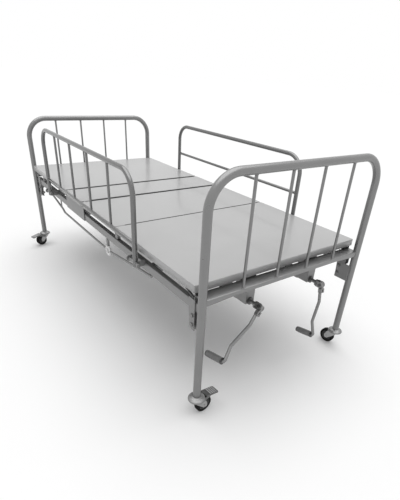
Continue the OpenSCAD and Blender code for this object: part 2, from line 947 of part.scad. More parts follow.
// Rod for hanging things from, bent along the near side member, with a ring
module utility_rod() {
    top = member_bottom;
    color("gainsboro") place() translate([0, rod_y, 0]) {
        bent_rod(rod_path, rod_r);
        bent_rod(rod_tail, rod_r);
        translate([rod_ring_x, 0, rod_path[3].y]) rotate([90, 0, 0]) rotate_extrude()
            translate([rod_ring_r - rod_ring_wire, -rod_ring_wire]) square(2 * rod_ring_wire);
        translate([rod_ring_x - 8, -rod_r, rod_path[3].y + rod_ring_r])
            cube([16, 2 * rod_r, top - rod_path[3].y - rod_ring_r]);
        translate([rod_strut.x, 0, rod_strut.y]) cylinder(h = top - rod_strut.y, r = rod_r - 2);
    }
}

// Casters

// Stem in its plug, with the dome that covers the swivel
module caster_top() {
    difference() {
        translate([0, 0, leg_bottom]) cylinder(h = 42, r = hoop_r - hoop_wall);
        cylinder(h = 200, r = stem_r);
    }
    translate([0, 0, crown_bottom - 2.5]) cylinder(h = 60, r = stem_r);
    translate([0, 0, crown_bottom - 3]) cylinder(h = 3 - side_gap, r = stem_r + 3);
    rotate_extrude() polygon([
        [stem_r, dome_rim], [11, dome_rim], [11, 93], [17, 93], [31, 87], [34, dome_rim],
        [dome_r, dome_rim], [dome_r, 86], [33, 90], [24, 95], [hoop_r, leg_bottom], [stem_r, leg_bottom]
    ]);
}

module at_leg(x_side, y_side, turn) {
    translate([x_side * end_x, y_side * leg_y, 0]) rotate([0, 0, turn]) children();
}

module caster_tops() {
    color("gainsboro") place() for (x_side = [-1, 1], y_side = [-1, 1]) {
        at_leg(x_side, y_side, 0) caster_top();
    }
}

// Fork with its crown, its axle bolt and, where there is a pedal, the pedal's pivots
module fork(pivots) {
    difference() {
        union() {
            translate([0, 0, crown_bottom]) cylinder(h = crown_top - crown_bottom, r = crown_r);
            translate([0, 0, crown_top]) cylinder(h = dome_rim - side_gap - crown_top, r = 12);
            both_sides() y_plate(fork_in, fork_in + fork_t) {
                polygon([
                    [-15, crown_top], [-15, crown_bottom - 3], [trail - 9, wheel_r], [trail + 9, wheel_r],
                    [trail - 1, crown_bottom - 8], [15, crown_top]
                ]);
                translate([trail, wheel_r]) circle(r = 9);
            }
        }
        cylinder(h = 200, r = stem_r + run_gap);
        translate([trail, 0, wheel_r]) y_cyl(-30, 30, axle_r);
    }
    translate([trail, 0, wheel_r]) {
        y_cyl(-fork_in - fork_t - 3, fork_in + fork_t + 3, axle_r);
        both_sides() y_cyl(fork_in + fork_t, fork_in + fork_t + 3.5, axle_r + 2.5);
    }
    if (pivots) both_sides() translate([pedal_pivot.x, 0, pedal_pivot.y])
        y_cyl(fork_in + fork_t, pedal_w / 2 + 0.6, pedal_pivot_r);
}

module hub() {
    difference() {
        translate([trail, 0, wheel_r]) {
            y_cyl(-wheel_w / 2 + 1, wheel_w / 2 - 1, hub_r);
            y_cyl(-fork_in + side_gap, fork_in - side_gap, axle_r + 4);
        }
        translate([trail, 0, wheel_r]) y_cyl(-30, 30, axle_r + run_gap);
    }
}

module tyre() {
    soft = 5;
    half = wheel_w / 2;
    translate([trail, 0, wheel_r]) rotate([90, 0, 0]) rotate_extrude() {
        translate([hub_r, -half]) square([wheel_r - soft - hub_r, wheel_w]);
        translate([wheel_r - soft, -half + soft]) square([soft, wheel_w - 2 * soft]);
        for (s = [-1, 1]) {
            translate([wheel_r - soft, s * (half - soft)]) circle(r = soft);
        }
    }
}

// Stirrup-shaped brake pedal over the wheel, with ribs across its tread
module brake_pedal() {
    half = pedal_w / 2;
    tread_start = dome_r + 3;
    both_sides() difference() {
        y_plate(half - pedal_arm_t, half) {
            polygon([
                [pedal_pivot.x - 5, pedal_pivot.y - 3], [pedal_pivot.x + 4, pedal_pivot.y - 5],
                [tread_start + 20, 74], [tread_start + 20, 81], [tread_start, 82.5], [pedal_pivot.x - 4, pedal_pivot.y + 4]
            ]);
            translate(pedal_pivot) circle(r = 6);
        }
        translate([pedal_pivot.x, 0, pedal_pivot.y]) y_cyl(-half - 1, half + 1, pedal_pivot_r + run_gap);
    }
    y_plate(-half, half) polygon([
        [tread_start, 82], [tread_start, 87], [pedal_reach, 87 - pedal_drop], [pedal_reach + 1, 84 - pedal_drop], [pedal_reach, 80 - pedal_drop],
        [tread_start + 20, 80]
    ]);
    for (i = [0:3]) {
        translate([tread_start + 26 + i * 10, 0, 87 - (26 + i * 10) * pedal_drop / (pedal_reach - tread_start)])
            y_cyl(-half + 3, half - 3, 3);
    }
}

module near_foot_fork() {
    color("gainsboro") place() at_leg(1, -1, near_foot_turn) fork(true);
}

module near_foot_hub() {
    color("gray") place() at_leg(1, -1, near_foot_turn) hub();
}

module near_foot_tyre() {
    color("black") place() at_leg(1, -1, near_foot_turn) tyre();
}

module near_foot_brake_pedal() {
    color("silver") place() at_leg(1, -1, near_foot_turn) brake_pedal();
}

module far_foot_fork() {
    color("gainsboro") place() at_leg(1, 1, far_foot_turn) fork(false);
}

module far_foot_hub() {
    color("gray") place() at_leg(1, 1, far_foot_turn) hub();
}

module far_foot_tyre() {
    color("black") place() at_leg(1, 1, far_foot_turn) tyre();
}

module near_head_fork() {
    color("gainsboro") place() at_leg(-1, -1, near_head_turn) fork(true);
}

module near_head_hub() {
    color("gray") place() at_leg(-1, -1, near_head_turn) hub();
}

module near_head_tyre() {
    color("black") place() at_leg(-1, -1, near_head_turn) tyre();
}

module near_head_brake_pedal() {
    color("silver") place() at_leg(-1, -1, near_head_turn) brake_pedal();
}

module far_head_fork() {
    color("gainsboro") place() at_leg(-1, 1, far_head_turn) fork(false);
}

module far_head_hub() {
    color("gray") place() at_leg(-1, 1, far_head_turn) hub();
}

module far_head_tyre() {
    color("black") place() at_leg(-1, 1, far_head_turn) tyre();
}

head_hoop();
foot_hoop();
head_bars();
foot_bars();
head_cross_member();
foot_cross_member();
near_side_member();
far_side_member();
frame_cross_tubes();
corner_plates();
frame_bolts();
seat_side_plates();
section_hinge_pins();
seat_section();
deck_buffers();
rail_brackets();
crank_bearing_brackets();
crank_bushings();
drive_housings();
utility_rod();
caster_tops();
backrest_section();
backrest_underframe();
backrest_lever();
thigh_section();
thigh_underframe();
knee_lever();
calf_hinge_pins();
calf_section();
calf_underframe();
near_rail();
far_rail();
backrest_screw();
backrest_crank_pin();
backrest_crank_arm();
backrest_crank_grip();
backrest_drive_nut();
backrest_push_tube();
backrest_yoke_pin();
knee_screw();
knee_crank_pin();
knee_crank_arm();
knee_crank_grip();
knee_drive_nut();
knee_push_tube();
knee_yoke_pin();
near_foot_fork();
near_foot_hub();
near_foot_tyre();
near_foot_brake_pedal();
far_foot_fork();
far_foot_hub();
far_foot_tyre();
near_head_fork();
near_head_hub();
near_head_tyre();
near_head_brake_pedal();
far_head_fork();
far_head_hub();
far_head_tyre();
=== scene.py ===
# %% [markdown]
# A manual hospital bed with two hand cranks, dressed for the camera.
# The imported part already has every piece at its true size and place. This lesson gives the pieces
# the soft bends, rolled edges, weld beads, treads and coatings of the real bed, one cell at a time.

# %% Load the fixed frame
import math

import bmesh
import bpy
import numpy as np
from mathutils import Matrix, Vector


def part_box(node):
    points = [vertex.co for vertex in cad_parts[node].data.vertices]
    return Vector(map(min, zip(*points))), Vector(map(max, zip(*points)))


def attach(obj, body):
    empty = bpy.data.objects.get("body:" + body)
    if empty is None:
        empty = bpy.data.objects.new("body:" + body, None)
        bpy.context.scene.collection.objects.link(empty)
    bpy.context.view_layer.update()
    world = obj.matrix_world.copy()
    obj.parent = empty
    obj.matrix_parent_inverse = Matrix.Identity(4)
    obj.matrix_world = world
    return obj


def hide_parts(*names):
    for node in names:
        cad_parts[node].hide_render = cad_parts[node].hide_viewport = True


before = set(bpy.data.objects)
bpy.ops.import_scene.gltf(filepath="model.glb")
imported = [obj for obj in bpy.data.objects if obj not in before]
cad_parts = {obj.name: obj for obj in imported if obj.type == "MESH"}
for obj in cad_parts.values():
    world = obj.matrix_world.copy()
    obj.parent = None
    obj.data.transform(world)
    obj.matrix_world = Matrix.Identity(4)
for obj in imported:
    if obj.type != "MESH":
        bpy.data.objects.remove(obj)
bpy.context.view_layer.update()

# %% [markdown]
# The part's source is drawn in millimetres about the middle between the two end hoops. The frame is in
# metres and sits a little aside from that. Reading the two cross members' boxes gives the shift,
# so every number below can be a plain workshop millimetre.

# %% From workshop millimetres to the frame
MM = 0.001
foot_low, foot_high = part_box("foot_cross_member")
head_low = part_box("head_cross_member")[0]
SHIFT = np.array([(foot_high.x + head_low.x) / 2, (foot_low.y + foot_high.y) / 2, 0.0])
print("shift in mm:", np.round(SHIFT / MM, 3))


def in_frame(points):
    """Millimetres to metres, plus the shift."""
    return np.asarray(points, float) * MM + SHIFT


# %% [markdown]
# Everything here is a surface on a grid: one number runs along a piece, the other runs round it.
# The helpers return points, four-cornered faces, and the few many-cornered faces that close an end.
# Whole arrays are worked out at once, so no loop visits single points.

# %% Grids and their joining
def grid(points, round_i=False, round_j=False):
    """Face (i, j) joins points (i, j), (i+1, j), (i+1, j+1) and (i, j+1).

    A round direction joins its last row to its first.
    """
    n, m = points.shape[:2]
    rows, columns = np.arange(n if round_i else n - 1), np.arange(m if round_j else m - 1)
    i, j = np.meshgrid(rows, columns, indexing="ij")
    i2, j2 = (i + 1) % n, (j + 1) % m
    quads = np.stack([i * m + j, i2 * m + j, i2 * m + j2, i * m + j2], -1).reshape(-1, 4)
    return points.reshape(-1, 3), quads, []


def join(*shapes):
    """Several shapes as one: each shape's face numbers move on by the points before it."""
    starts = np.cumsum([0] + [len(s[0]) for s in shapes])
    points = np.concatenate([s[0] for s in shapes])
    quads = np.concatenate([np.asarray(s[1], int).reshape(-1, 4) + k for s, k in zip(shapes, starts)])
    caps = [np.asarray(c) + k for s, k in zip(shapes, starts) for c in s[2]]
    return points, quads, caps


def moved(shape, change):
    """The shape with its points put through a change."""
    return change(shape[0]), shape[1], shape[2]


def flipped(shape, axis):
    """The shape's mirror image across the plane axis = 0."""
    flip = np.ones(3)
    flip[axis] = -1
    return moved(shape, lambda p: p * flip)


def mirrored(shape, axis):
    """The shape and its mirror image."""
    return join(shape, flipped(shape, axis))


def unit(v):
    """The same direction, one long."""
    return np.asarray(v, float) / np.linalg.norm(v)


# %% [markdown]
# A bent tube follows a path of straight legs with an arc at each corner. The tube bender's die gives
# every corner one radius, so the path is made first and the round section is carried along it.

# %% Paths, tubes, turned pieces and plates
def bent(corners, radius, closed=False, steps=12):
    """Corner by corner: centre of the arc + radius · (sin t · side - cos t · middle line).

    The angle t runs from minus to plus half the turn.
    """
    corners = np.asarray(corners, float)
    radii = np.broadcast_to(np.asarray(radius, float), len(corners))
    if closed:
        trio = zip(np.roll(corners, 1, 0), corners, np.roll(corners, -1, 0), radii)
    else:
        trio = zip(corners[:-2], corners[1:-1], corners[2:], radii[1:-1])
    rows = [] if closed else [corners[:1]]
    for before, corner, after, r in trio:
        a, b = unit(before - corner), unit(after - corner)
        half = math.acos(np.clip(a @ b, -1, 1)) / 2
        middle, side = unit(a + b), unit(b - a)
        t = np.linspace(-1, 1, steps)[:, None] * (math.pi / 2 - half)
        centre = corner + middle * r / math.sin(half)
        rows.append(centre + r * (np.sin(t) * side - np.cos(t) * middle))
    return np.concatenate(rows if closed else rows + [corners[-1:]])


def tube(path, radius, plane, sides=32):
    """Path + radius · (cos a · across + sin a · plane), where plane is square to the flat path.

    Across is square to both, and each end is drawn in to a point.
    """
    path, plane = np.asarray(path, float), unit(plane)
    along = np.gradient(path, axis=0)
    across = np.cross(along, plane)
    across /= np.linalg.norm(across, axis=1, keepdims=True)
    wide = np.broadcast_to(np.asarray(radius, float), len(path))[:, None, None]
    a = np.linspace(0, 2 * math.pi, sides, endpoint=False)[None, :, None]
    rings = path[:, None, :] + wide * np.cos(a) * across[:, None, :] + wide * np.sin(a) * plane
    ends = [np.repeat(path[k][None, None, :], sides, 1) for k in (0, -1)]
    return grid(np.concatenate([ends[0], rings, ends[1]]), round_j=True)


ROD_EDGE = 0.8
ASKEW = (0.31, 0.52, 0.79)


def rod(start, end, radius, sides=28):
    """A straight tube whose ends have a small rounded edge; ASKEW picks where its seam lies."""
    start, end = np.asarray(start, float), np.asarray(end, float)
    along, edge = unit(end - start), min(ROD_EDGE, radius / 4)
    inset = along * edge
    path = np.array([start, start + inset * 0.3, start + inset, end - inset, end - inset * 0.3, end])
    half = [radius - edge, radius - 0.3 * edge, radius]
    return tube(path, np.array(half + half[::-1]), unit(np.cross(along, ASKEW)), sides)


def turned(profile, origin, axis, sides=48, wave=None):
    """Origin + distance along the axis + radius · (cos a · u + sin a · v), as on a lathe.

    The profile's rows are radius and distance, and wave(a) multiplies the radius.
    """
    profile = np.asarray(profile, float)
    axis = unit(axis)
    u = unit(np.cross(axis, [0.0, 0.0, 1.0] if abs(axis[2]) < 0.9 else [0.0, 1.0, 0.0]))
    v = np.cross(axis, u)
    a = np.linspace(0, 2 * math.pi, sides, endpoint=False)
    spin = np.cos(a)[:, None] * u + np.sin(a)[:, None] * v
    if wave is not None:
        spin = spin * wave(a)[:, None]
    radius, distance = profile[:, None, 0:1], profile[:, None, 1:2]
    return grid(np.asarray(origin, float) + distance * axis + radius * spin[None], round_j=True)


def at_y(flat, y):
    """Rows of (x, z) as points at that y."""
    return np.column_stack([flat[:, 0], np.full(len(flat), y), flat[:, 1]])


def plate(outline, shift):
    """The outline and its copy moved by shift, joined round the edge, with a face on each side."""
    outline = np.asarray(outline, float)
    n = len(outline)
    points, quads, _ = grid(np.stack([outline, outline + np.asarray(shift, float)]), round_j=True)
    return points, quads, [np.arange(n)[::-1], np.arange(n, 2 * n)]


def block(low, high, edge=1.5, steps=3):
    """Every point of a ball of the edge's radius, moved out to its own corner of the block."""
    low, high = np.asarray(low, float), np.asarray(high, float)
    half = (high - low) / 2 - edge
    q = np.linspace(0, math.pi / 2, steps + 1)
    lat = np.concatenate([q - math.pi / 2, q])
    up = np.repeat([-1, 1], steps + 1)
    lon = np.concatenate([q + k * math.pi / 2 for k in range(4)])
    middle = np.repeat(np.arange(4) * math.pi / 2 + math.pi / 4, steps + 1)
    row, column = np.ones_like(lon), np.ones_like(up)
    ball = np.stack([np.outer(np.cos(lat), np.cos(lon)), np.outer(np.cos(lat), np.sin(lon)),
                     np.outer(np.sin(lat), row)], -1)
    east, north = np.sign(np.cos(middle)), np.sign(np.sin(middle))
    corner = np.stack([np.outer(column, east), np.outer(column, north), np.outer(up, row)], -1)
    body = (low + high) / 2 + corner * half + edge * ball
    pole = np.broadcast_to((low + high) / 2, (1, len(lon), 3)).copy()
    bottom, top = pole.copy(), pole.copy()
    bottom[..., 2], top[..., 2] = low[2], high[2]
    return grid(np.concatenate([bottom, body, top]), round_j=True)


# %% [markdown]
# A mesh becomes a piece in one place, so each piece is treated alike. Points that coincide are merged,
# faces are turned outward, and edges sharper than 35 degrees stay crisp. Each piece then rides on the
# body that carries it, and takes the place of the plain pieces that it stands for.

# %% Making a piece
totals = {"pieces": 0, "faces": 0}
SHARP = math.radians(35)
SAME_PLACE, TOO_SHORT = 2e-6, 1e-6


def piece(name, shape, body, finish, stands_for=(), bevel=0.0, thickness=0.0):
    """Makes the mesh, closes its seams, turns it outward, and hands it to its body."""
    mesh = bpy.data.meshes.new(name)
    points, quads, caps = shape
    mesh.from_pydata(in_frame(points), [], np.asarray(quads).tolist() + [c.tolist() for c in caps])
    work = bmesh.new()
    work.from_mesh(mesh)
    bmesh.ops.remove_doubles(work, verts=work.verts, dist=SAME_PLACE)
    bmesh.ops.dissolve_degenerate(work, edges=work.edges, dist=TOO_SHORT)
    bmesh.ops.recalc_face_normals(work, faces=work.faces)
    work.to_mesh(mesh)
    work.free()
    mesh.polygons.foreach_set("use_smooth", np.ones(len(mesh.polygons), bool))
    mesh.set_sharp_from_angle(angle=SHARP)
    thing = bpy.data.objects.new(name, mesh)
    bpy.context.scene.collection.objects.link(thing)
    thing.data.materials.append(finish)
    if thickness:
        wall = thing.modifiers.new("sheet", "SOLIDIFY")
        wall.thickness, wall.offset, wall.use_even_offset = thickness * MM, -1, True
    if bevel:
        soft = thing.modifiers.new("edges", "BEVEL")
        soft.width, soft.segments, soft.limit_method = bevel * MM, 2, "ANGLE"
        soft.angle_limit, soft.harden_normals = SHARP, True
    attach(thing, body)
    if stands_for:
        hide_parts(*stands_for)
    totals["pieces"] += 1
    totals["faces"] += len(mesh.polygons)
    print(f"{name}: {len(mesh.polygons)} faces on {body}")


# %% [markdown]
# Shader maths reads like arithmetic here. A Wire is one output of a node; adding or multiplying wires
# adds the Math node that does it, and one method makes any other node.

# %% Writing materials as sums
class Wire:
    """One output socket of a material's nodes, used like a number."""

    def __init__(self, tree, socket=None):
        self.tree, self.socket = tree, socket

    def node(self, kind, settings=None, out=0, **sockets):
        """A node of that kind: settings first, then the values or wires of its sockets.

        A socket is named with _ for a space, or by its number as s0, s1 and so on.
        """
        made = self.tree.nodes.new(kind)
        for key, value in (settings or {}).items():
            setattr(made, key, value)
        for key, value in sockets.items():
            socket = made.inputs[int(key[1:]) if key[1:].isdigit() else key.replace("_", " ")]
            if isinstance(value, Wire):
                self.tree.links.new(value.socket, socket)
            else:
                socket.default_value = value
        return Wire(self.tree, made.outputs[out])

    def _maths(self, operation, first, second, clamp=False):
        return self.node("ShaderNodeMath", {"operation": operation, "use_clamp": clamp},
                         s0=first, s1=second)

    def __add__(self, other):
        return self._maths("ADD", self, other)

    def __sub__(self, other):
        return self._maths("SUBTRACT", self, other)

    def __rsub__(self, other):
        return self._maths("SUBTRACT", other, self)

    def __mul__(self, other):
        return self._maths("MULTIPLY", self, other)

    def __truediv__(self, other):
        return self._maths("DIVIDE", self, other)

    __radd__, __rmul__ = __add__, __mul__

    def between(self, low, high):
        """0 below low, 1 above high, and straight between them."""
        return self._maths("ADD", (self - low) / (high - low), 0.0, clamp=True)


def new_material(name):
    """An empty node material, its Principled shader and a Wire to start from."""
    material = bpy.data.materials.new(name)
    material.use_nodes = True
    tree = material.node_tree
    tree.nodes.clear()
    shader = tree.nodes.new("ShaderNodeBsdfPrincipled")
    output = tree.nodes.new("ShaderNodeOutputMaterial")
    tree.links.new(shader.outputs[0], output.inputs[0])
    return material, shader, Wire(tree)


def feed(wire, shader, socket):
    """Runs the wire into the shader's socket of that name."""
    wire.tree.links.new(wire.socket, shader.inputs[socket])


def linear(grey):
    """The linear colour of a 0 to 255 grey."""
    level = np.full(3, grey / 255)
    return (*np.where(level <= 0.04045, level / 12.92, ((level + 0.055) / 1.055) ** 2.4), 1.0)


def toned(w, colour, tone):
    """The colour times a tone that varies over the surface."""
    return w.node("ShaderNodeMix", {"data_type": "RGBA", "blend_type": "MULTIPLY"}, out=2,
                  s0=1.0, s6=colour, s7=tone)


# %% [markdown]
# The steel of this bed is sprayed and baked. Close up, such a coat is slightly pebbled, its tone
# drifts a little from place to place, and it has faint rub marks. Each of those is one noise at its
# own size: 12 cm for the drift, 1 mm for the pebbling, thin streaks for the rubs. The side rails'
# tubes are smoother than the hoops, and mirror more of what is round them. The lips that face each
# other across a hinge, and a narrow band of the top beside them, carry painted shade that stands for
# the shadow down in the gap, except for a short piece at each side. That is a mask on the place along
# and across the bed, with a half width for each gap.

# %% Coated steel
# Painted shade along each hinge: its middle and half width along X, its near and far ends across the
# bed, its strength and its soft edge.
HINGE_GAPS = ((-333, 14.5), (-82, 14.5), (341, 5))
DARK_NEAR, DARK_FAR, HINGE_SHADE_STRENGTH, GAP_FADE = -410.0, 437.0, 0.9, 0.6


def painted_hinge_shade_mask(w, place):
    """Mask of the painted hinge shade: 1 near a hinge gap along X, from DARK_NEAR to DARK_FAR along Y,
    and 0 elsewhere.
    """
    parts = w.node("ShaderNodeSeparateXYZ", Vector=place)
    x, y = (Wire(w.tree, parts.socket.node.outputs[k]) / MM - SHIFT[k] / MM for k in range(2))
    shade_at_hinges = 0.0
    for middle, half in HINGE_GAPS:
        off = w.node("ShaderNodeMath", {"operation": "ABSOLUTE"}, s0=x - middle)
        shade_at_hinges = (1.0 - off.between(half, half + GAP_FADE)) + shade_at_hinges
    return shade_at_hinges * y.between(DARK_NEAR - 2, DARK_NEAR + 2) * (1.0 - y.between(DARK_FAR, DARK_FAR + 3))


def coated_steel(name, grey, metallic, roughness, clear=0.0, drift=0.05, rub=0.05,
                 streaks=(40, 40, 8), pebble=0.25, shade_at_hinges=False):
    """Colour = grey · (1 ± drift noise + rub marks), with painted shade where a hinge gap is.

    Roughness rises in the rubs, and a 1 mm pebbling is the bump.
    """
    material, shader, w = new_material(name)
    place = w.node("ShaderNodeTexCoord", out=3)
    cloud = w.node("ShaderNodeTexNoise", Vector=place, Scale=8.0, Detail=3.0, Roughness=0.55)
    stretched = w.node("ShaderNodeMapping", Vector=place, Scale=Vector(streaks))
    streak = w.node("ShaderNodeTexNoise", Vector=stretched, Scale=3.0, Detail=6.0, Roughness=0.7)
    streak = streak.between(0.6, 0.72)
    tone = (cloud - 0.5) * (4 * drift) + 1.0 + streak * rub
    # Painted shade: the deck coat is darkened along each hinge gap to stand for the gap's shadow.
    if shade_at_hinges:
        tone = tone * (1.0 - painted_hinge_shade_mask(w, place) * HINGE_SHADE_STRENGTH)
    feed(toned(w, linear(grey), tone), shader, "Base Color")
    feed(streak * 0.12 + (cloud - 0.5) * 0.16 + roughness, shader, "Roughness")
    shader.inputs["Metallic"].default_value = metallic
    shader.inputs["Coat Weight"].default_value = clear
    shader.inputs["Coat Roughness"].default_value = 0.12
    grain = w.node("ShaderNodeTexNoise", Vector=place, Scale=700.0, Detail=2.0, Roughness=0.6)
    bump = w.node("ShaderNodeBump", Height=grain + streak * 0.3, Strength=pebble, Distance=0.0002)
    feed(bump, shader, "Normal")
    return material


tube_coat = coated_steel("silver_tube_coat", 133, 0.6, 0.3, clear=0.15)
rail_coat = coated_steel("silver_rail_coat", 118, 0.8, 0.24, clear=0.15)
frame_coat = coated_steel("silver_frame_coat", 140, 0.45, 0.42)
deck_coat = coated_steel("pale_deck_coat", 170, 0.0, 0.36, clear=0.35, drift=0.03, rub=0.03,
                         streaks=(3, 60, 60), pebble=0.15, shade_at_hinges=True)
under_coat = coated_steel("dark_under_coat", 92, 0.25, 0.55, drift=0.06)
print("coats:", [m.name for m in (tube_coat, rail_coat, frame_coat, deck_coat, under_coat)])

# %% [markdown]
# Bolts, pins and screws are zinc plated, which gives a cold, uneven shine with fine turning lines.
# The same recipe, darker, serves for the pins and for the plain iron nuts.

# %% Plated steel and plain iron
def plated(name, colour, roughness, spots=0.18):
    """Full metal whose tone and roughness follow a 4 mm crystal pattern."""
    material, shader, w = new_material(name)
    place = w.node("ShaderNodeTexCoord", out=3)
    crystals = w.node("ShaderNodeTexVoronoi", Vector=place, Scale=260.0)
    cloud = w.node("ShaderNodeTexNoise", Vector=place, Scale=90.0, Detail=4.0)
    tone = (crystals - 0.4) * spots + (cloud - 0.5) * spots + 1.0
    feed(toned(w, colour, tone), shader, "Base Color")
    feed((cloud - 0.5) * 0.3 + roughness, shader, "Roughness")
    shader.inputs["Metallic"].default_value = 1.0
    feed(w.node("ShaderNodeBump", Height=cloud, Strength=0.2, Distance=0.0002), shader, "Normal")
    return material


zinc = plated("zinc_plate", linear(135), 0.44)
bright_zinc = plated("bright_zinc_plate", linear(172), 0.4)
dark_zinc = plated("dark_pins", linear(95), 0.42)
iron = plated("plain_iron", linear(120), 0.5, spots=0.1)
print("plated:", [m.name for m in (zinc, bright_zinc, dark_zinc, iron)])

# %% [markdown]
# Rubber is nearly black, with dust caught in its grain, and moulded plastic has an even stipple. Both
# are matt, so their bump and their paler specks carry the look. Rubber mirrors least, so it has a
# shine of its own that is lower than plastic's.

# %% Rubber and moulded plastic
def moulded(name, grey, roughness, dust, grain, strength, shine=0.5):
    """Dark base, lifted toward grey where a noise says that dust sits, with a stippled bump."""
    material, shader, w = new_material(name)
    place = w.node("ShaderNodeTexCoord", out=3)
    stipple = w.node("ShaderNodeTexNoise", Vector=place, Scale=grain, Detail=3.0, Roughness=0.7)
    cloud = w.node("ShaderNodeTexNoise", Vector=place, Scale=35.0, Detail=4.0)
    dusty = cloud.between(0.45, 0.75) * dust
    dust_colour = linear(min(grey + 60, 250))
    colour = w.node("ShaderNodeMix", {"data_type": "RGBA"}, out=2,
                    s0=dusty, s6=linear(grey), s7=dust_colour)
    feed(colour, shader, "Base Color")
    feed(dusty * 0.4 + (stipple - 0.5) * 0.2 + roughness, shader, "Roughness")
    bump = w.node("ShaderNodeBump", Height=stipple, Strength=strength, Distance=0.0004)
    feed(bump, shader, "Normal")
    shader.inputs["Specular IOR Level"].default_value = shine
    return material


tyre_rubber = moulded("tyre_rubber", 14, 0.65, 0.12, 900.0, 0.4, shine=0.15)
buffer_rubber = moulded("buffer_rubber", 30, 0.65, 0.25, 700.0, 0.4, shine=0.2)
grip_plastic = moulded("grip_plastic", 115, 0.45, 0.3, 1200.0, 0.3)
hub_plastic = moulded("hub_plastic", 48, 0.45, 0.25, 900.0, 0.2)
ring_plastic = moulded("ring_plastic", 235, 0.4, 0.1, 900.0, 0.1)
matt = (tyre_rubber, buffer_rubber, grip_plastic, hub_plastic, ring_plastic)
print("moulded:", [m.name for m in matt])

# %% [markdown]
# Each bed end is one tube, bent twice, with its feet in the casters. It could be a curve with a bevel,
# but a section carried along a bent path gives the exact outer diameter and closed ends.

# %% The two hoops
END_X, LEG_Y, HOOP_R, CROSS_TOP, CROSS_LOW = 1029.0, 450.0, 16.0, 547.0, 523.0
LEG_END, HOOP_BEND = 98, 120
TOPS = {"foot": 981.0, "head": 893.0}
SIDE = {"foot": 1, "head": -1}


def hoop(end):
    """Up the near leg, across the top and down the far leg, in a plane square to X."""
    x, top = SIDE[end] * END_X, TOPS[end]
    legs = [[x, -LEG_Y, LEG_END], [x, -LEG_Y, top], [x, LEG_Y, top], [x, LEG_Y, LEG_END]]
    return tube(bent(legs, HOOP_BEND, steps=22), HOOP_R, (1, 0, 0), sides=44)


for end in ("foot", "head"):
    piece(f"{end}_end_tube", hoop(end), "frame", tube_coat, [f"{end}_hoop"])

# %% [markdown]
# Where a bar meets a tube, the welder leaves a small rippled bead. It is a surface of revolution whose
# foot follows the big tube: its height at each angle comes from the circle of the tube's section.

# %% Weld beads and the upright bars
def bead(origin, away, across, bar_r, tube_r=None, size=2.4, sides=36):
    """Ring round a bar: from the bar's skin, over a rippled round, to the tube's skin.

    Away from its crest, a round tube's skin drops as tube_r - sqrt(tube_r² - (r cos a)²).
    """
    away, across = unit(away), unit(across)
    along = np.cross(away, across)
    a = np.linspace(0, 2 * math.pi, sides, endpoint=False)[None, :]
    t = np.linspace(0, 1, 6)[:, None]
    ripple = 1 + 0.07 * np.sin(9 * a)
    reach = bar_r - 0.3 + (size + 0.3) * t * ripple
    height = size * np.sqrt(np.clip(1 - t ** 1.6, 0, 1)) * ripple
    if tube_r is not None:
        height = height - (tube_r - np.sqrt(np.clip(tube_r ** 2 - (reach * np.cos(a)) ** 2, 0, None)))
    height = height - 0.25
    outward = np.cos(a)[..., None] * across + np.sin(a)[..., None] * along
    points = np.asarray(origin, float) + reach[..., None] * outward + height[..., None] * away
    return join(grid(points, round_j=True), grid(np.stack([points[0], points[-1]]), round_j=True))


BAR_ROWS, BAR_R = (-263, -87, 87, 263), 6


def upright(x, y, low, high, radius, tube_r):
    """A bar from the cross member up into the tube's underside, with a bead at each end."""
    return join(rod([x, y, low], [x, y, high - 2], radius),
                bead([x, y, low], (0, 0, 1), (1, 0, 0), radius),
                bead([x, y, high - tube_r], (0, 0, -1), (1, 0, 0), radius, tube_r))


for end in ("foot", "head"):
    bars = [upright(SIDE[end] * END_X, y, CROSS_TOP, TOPS[end], BAR_R, HOOP_R) for y in BAR_ROWS]
    piece(f"{end}_end_bars", join(*bars), "frame", tube_coat, [f"{end}_bars"])

# %% [markdown]
# The cross member under each hoop is a pressed channel, open below, and the side members are drawn
# rectangular tubes. Both are one section, with rounded corners, carried along a straight line. The
# channel's outer flange is less deep in its middle than at its ends.

# %% Cross members and side members
def channel_across(x0, x1, stations, corner=4.0, wall=3.0):
    """Outline of the channel in the XZ plane at each station along Y.

    A station gives the depth of the outer flange there.
    """
    edge, inside = 0.6, corner - wall + 0.5
    radii = [edge, corner, corner, edge, edge, inside, inside, edge]
    loops = []
    for y, depth in stations:
        front = CROSS_TOP - depth
        under = CROSS_TOP - wall
        outline = [[x0, CROSS_LOW], [x0, CROSS_TOP], [x1, CROSS_TOP], [x1, front],
                   [x1 - wall, front], [x1 - wall, under], [x0 + wall, under], [x0 + wall, CROSS_LOW]]
        loops.append(at_y(bent(outline, radii, closed=True, steps=6), y))
    points, quads, _ = grid(np.stack(loops), round_j=True)
    n = len(loops[0])
    return points, quads, [np.arange(n)[::-1], np.arange(len(points) - n, len(points))]


def box_tube(low, high, wall, corner=4.0):
    """Rectangular tube along X: outer and inner outlines, joined into one closed skin at both ends."""
    (x0, y0, z0), (x1, y1, z1) = low, high

    def outline(inset, radius):
        a0, b0, a1, b1 = y0 + inset, z0 + inset, y1 - inset, z1 - inset
        return bent([[a0, b0], [a1, b0], [a1, b1], [a0, b1]], radius, closed=True, steps=6)

    outer, inner = outline(0, corner), outline(wall, corner - wall + 0.4)
    skin = ((outer, x0), (outer, x1), (inner, x1), (inner, x0))
    loops = [np.column_stack([np.full(len(o), x), o]) for o, x in skin]
    return grid(np.stack(loops), round_i=True, round_j=True)


FLANGE_DEPTHS = [(-446, 24), (-413, 24), (-300, 17), (300, 17), (413, 24), (446, 24)]
channel = channel_across(974, 1036, FLANGE_DEPTHS)
for end in ("foot", "head"):
    piece(f"{end}_cross_channel", moved(channel, lambda p: p * (SIDE[end], 1, 1)), "frame",
          tube_coat, [f"{end}_cross_member"])

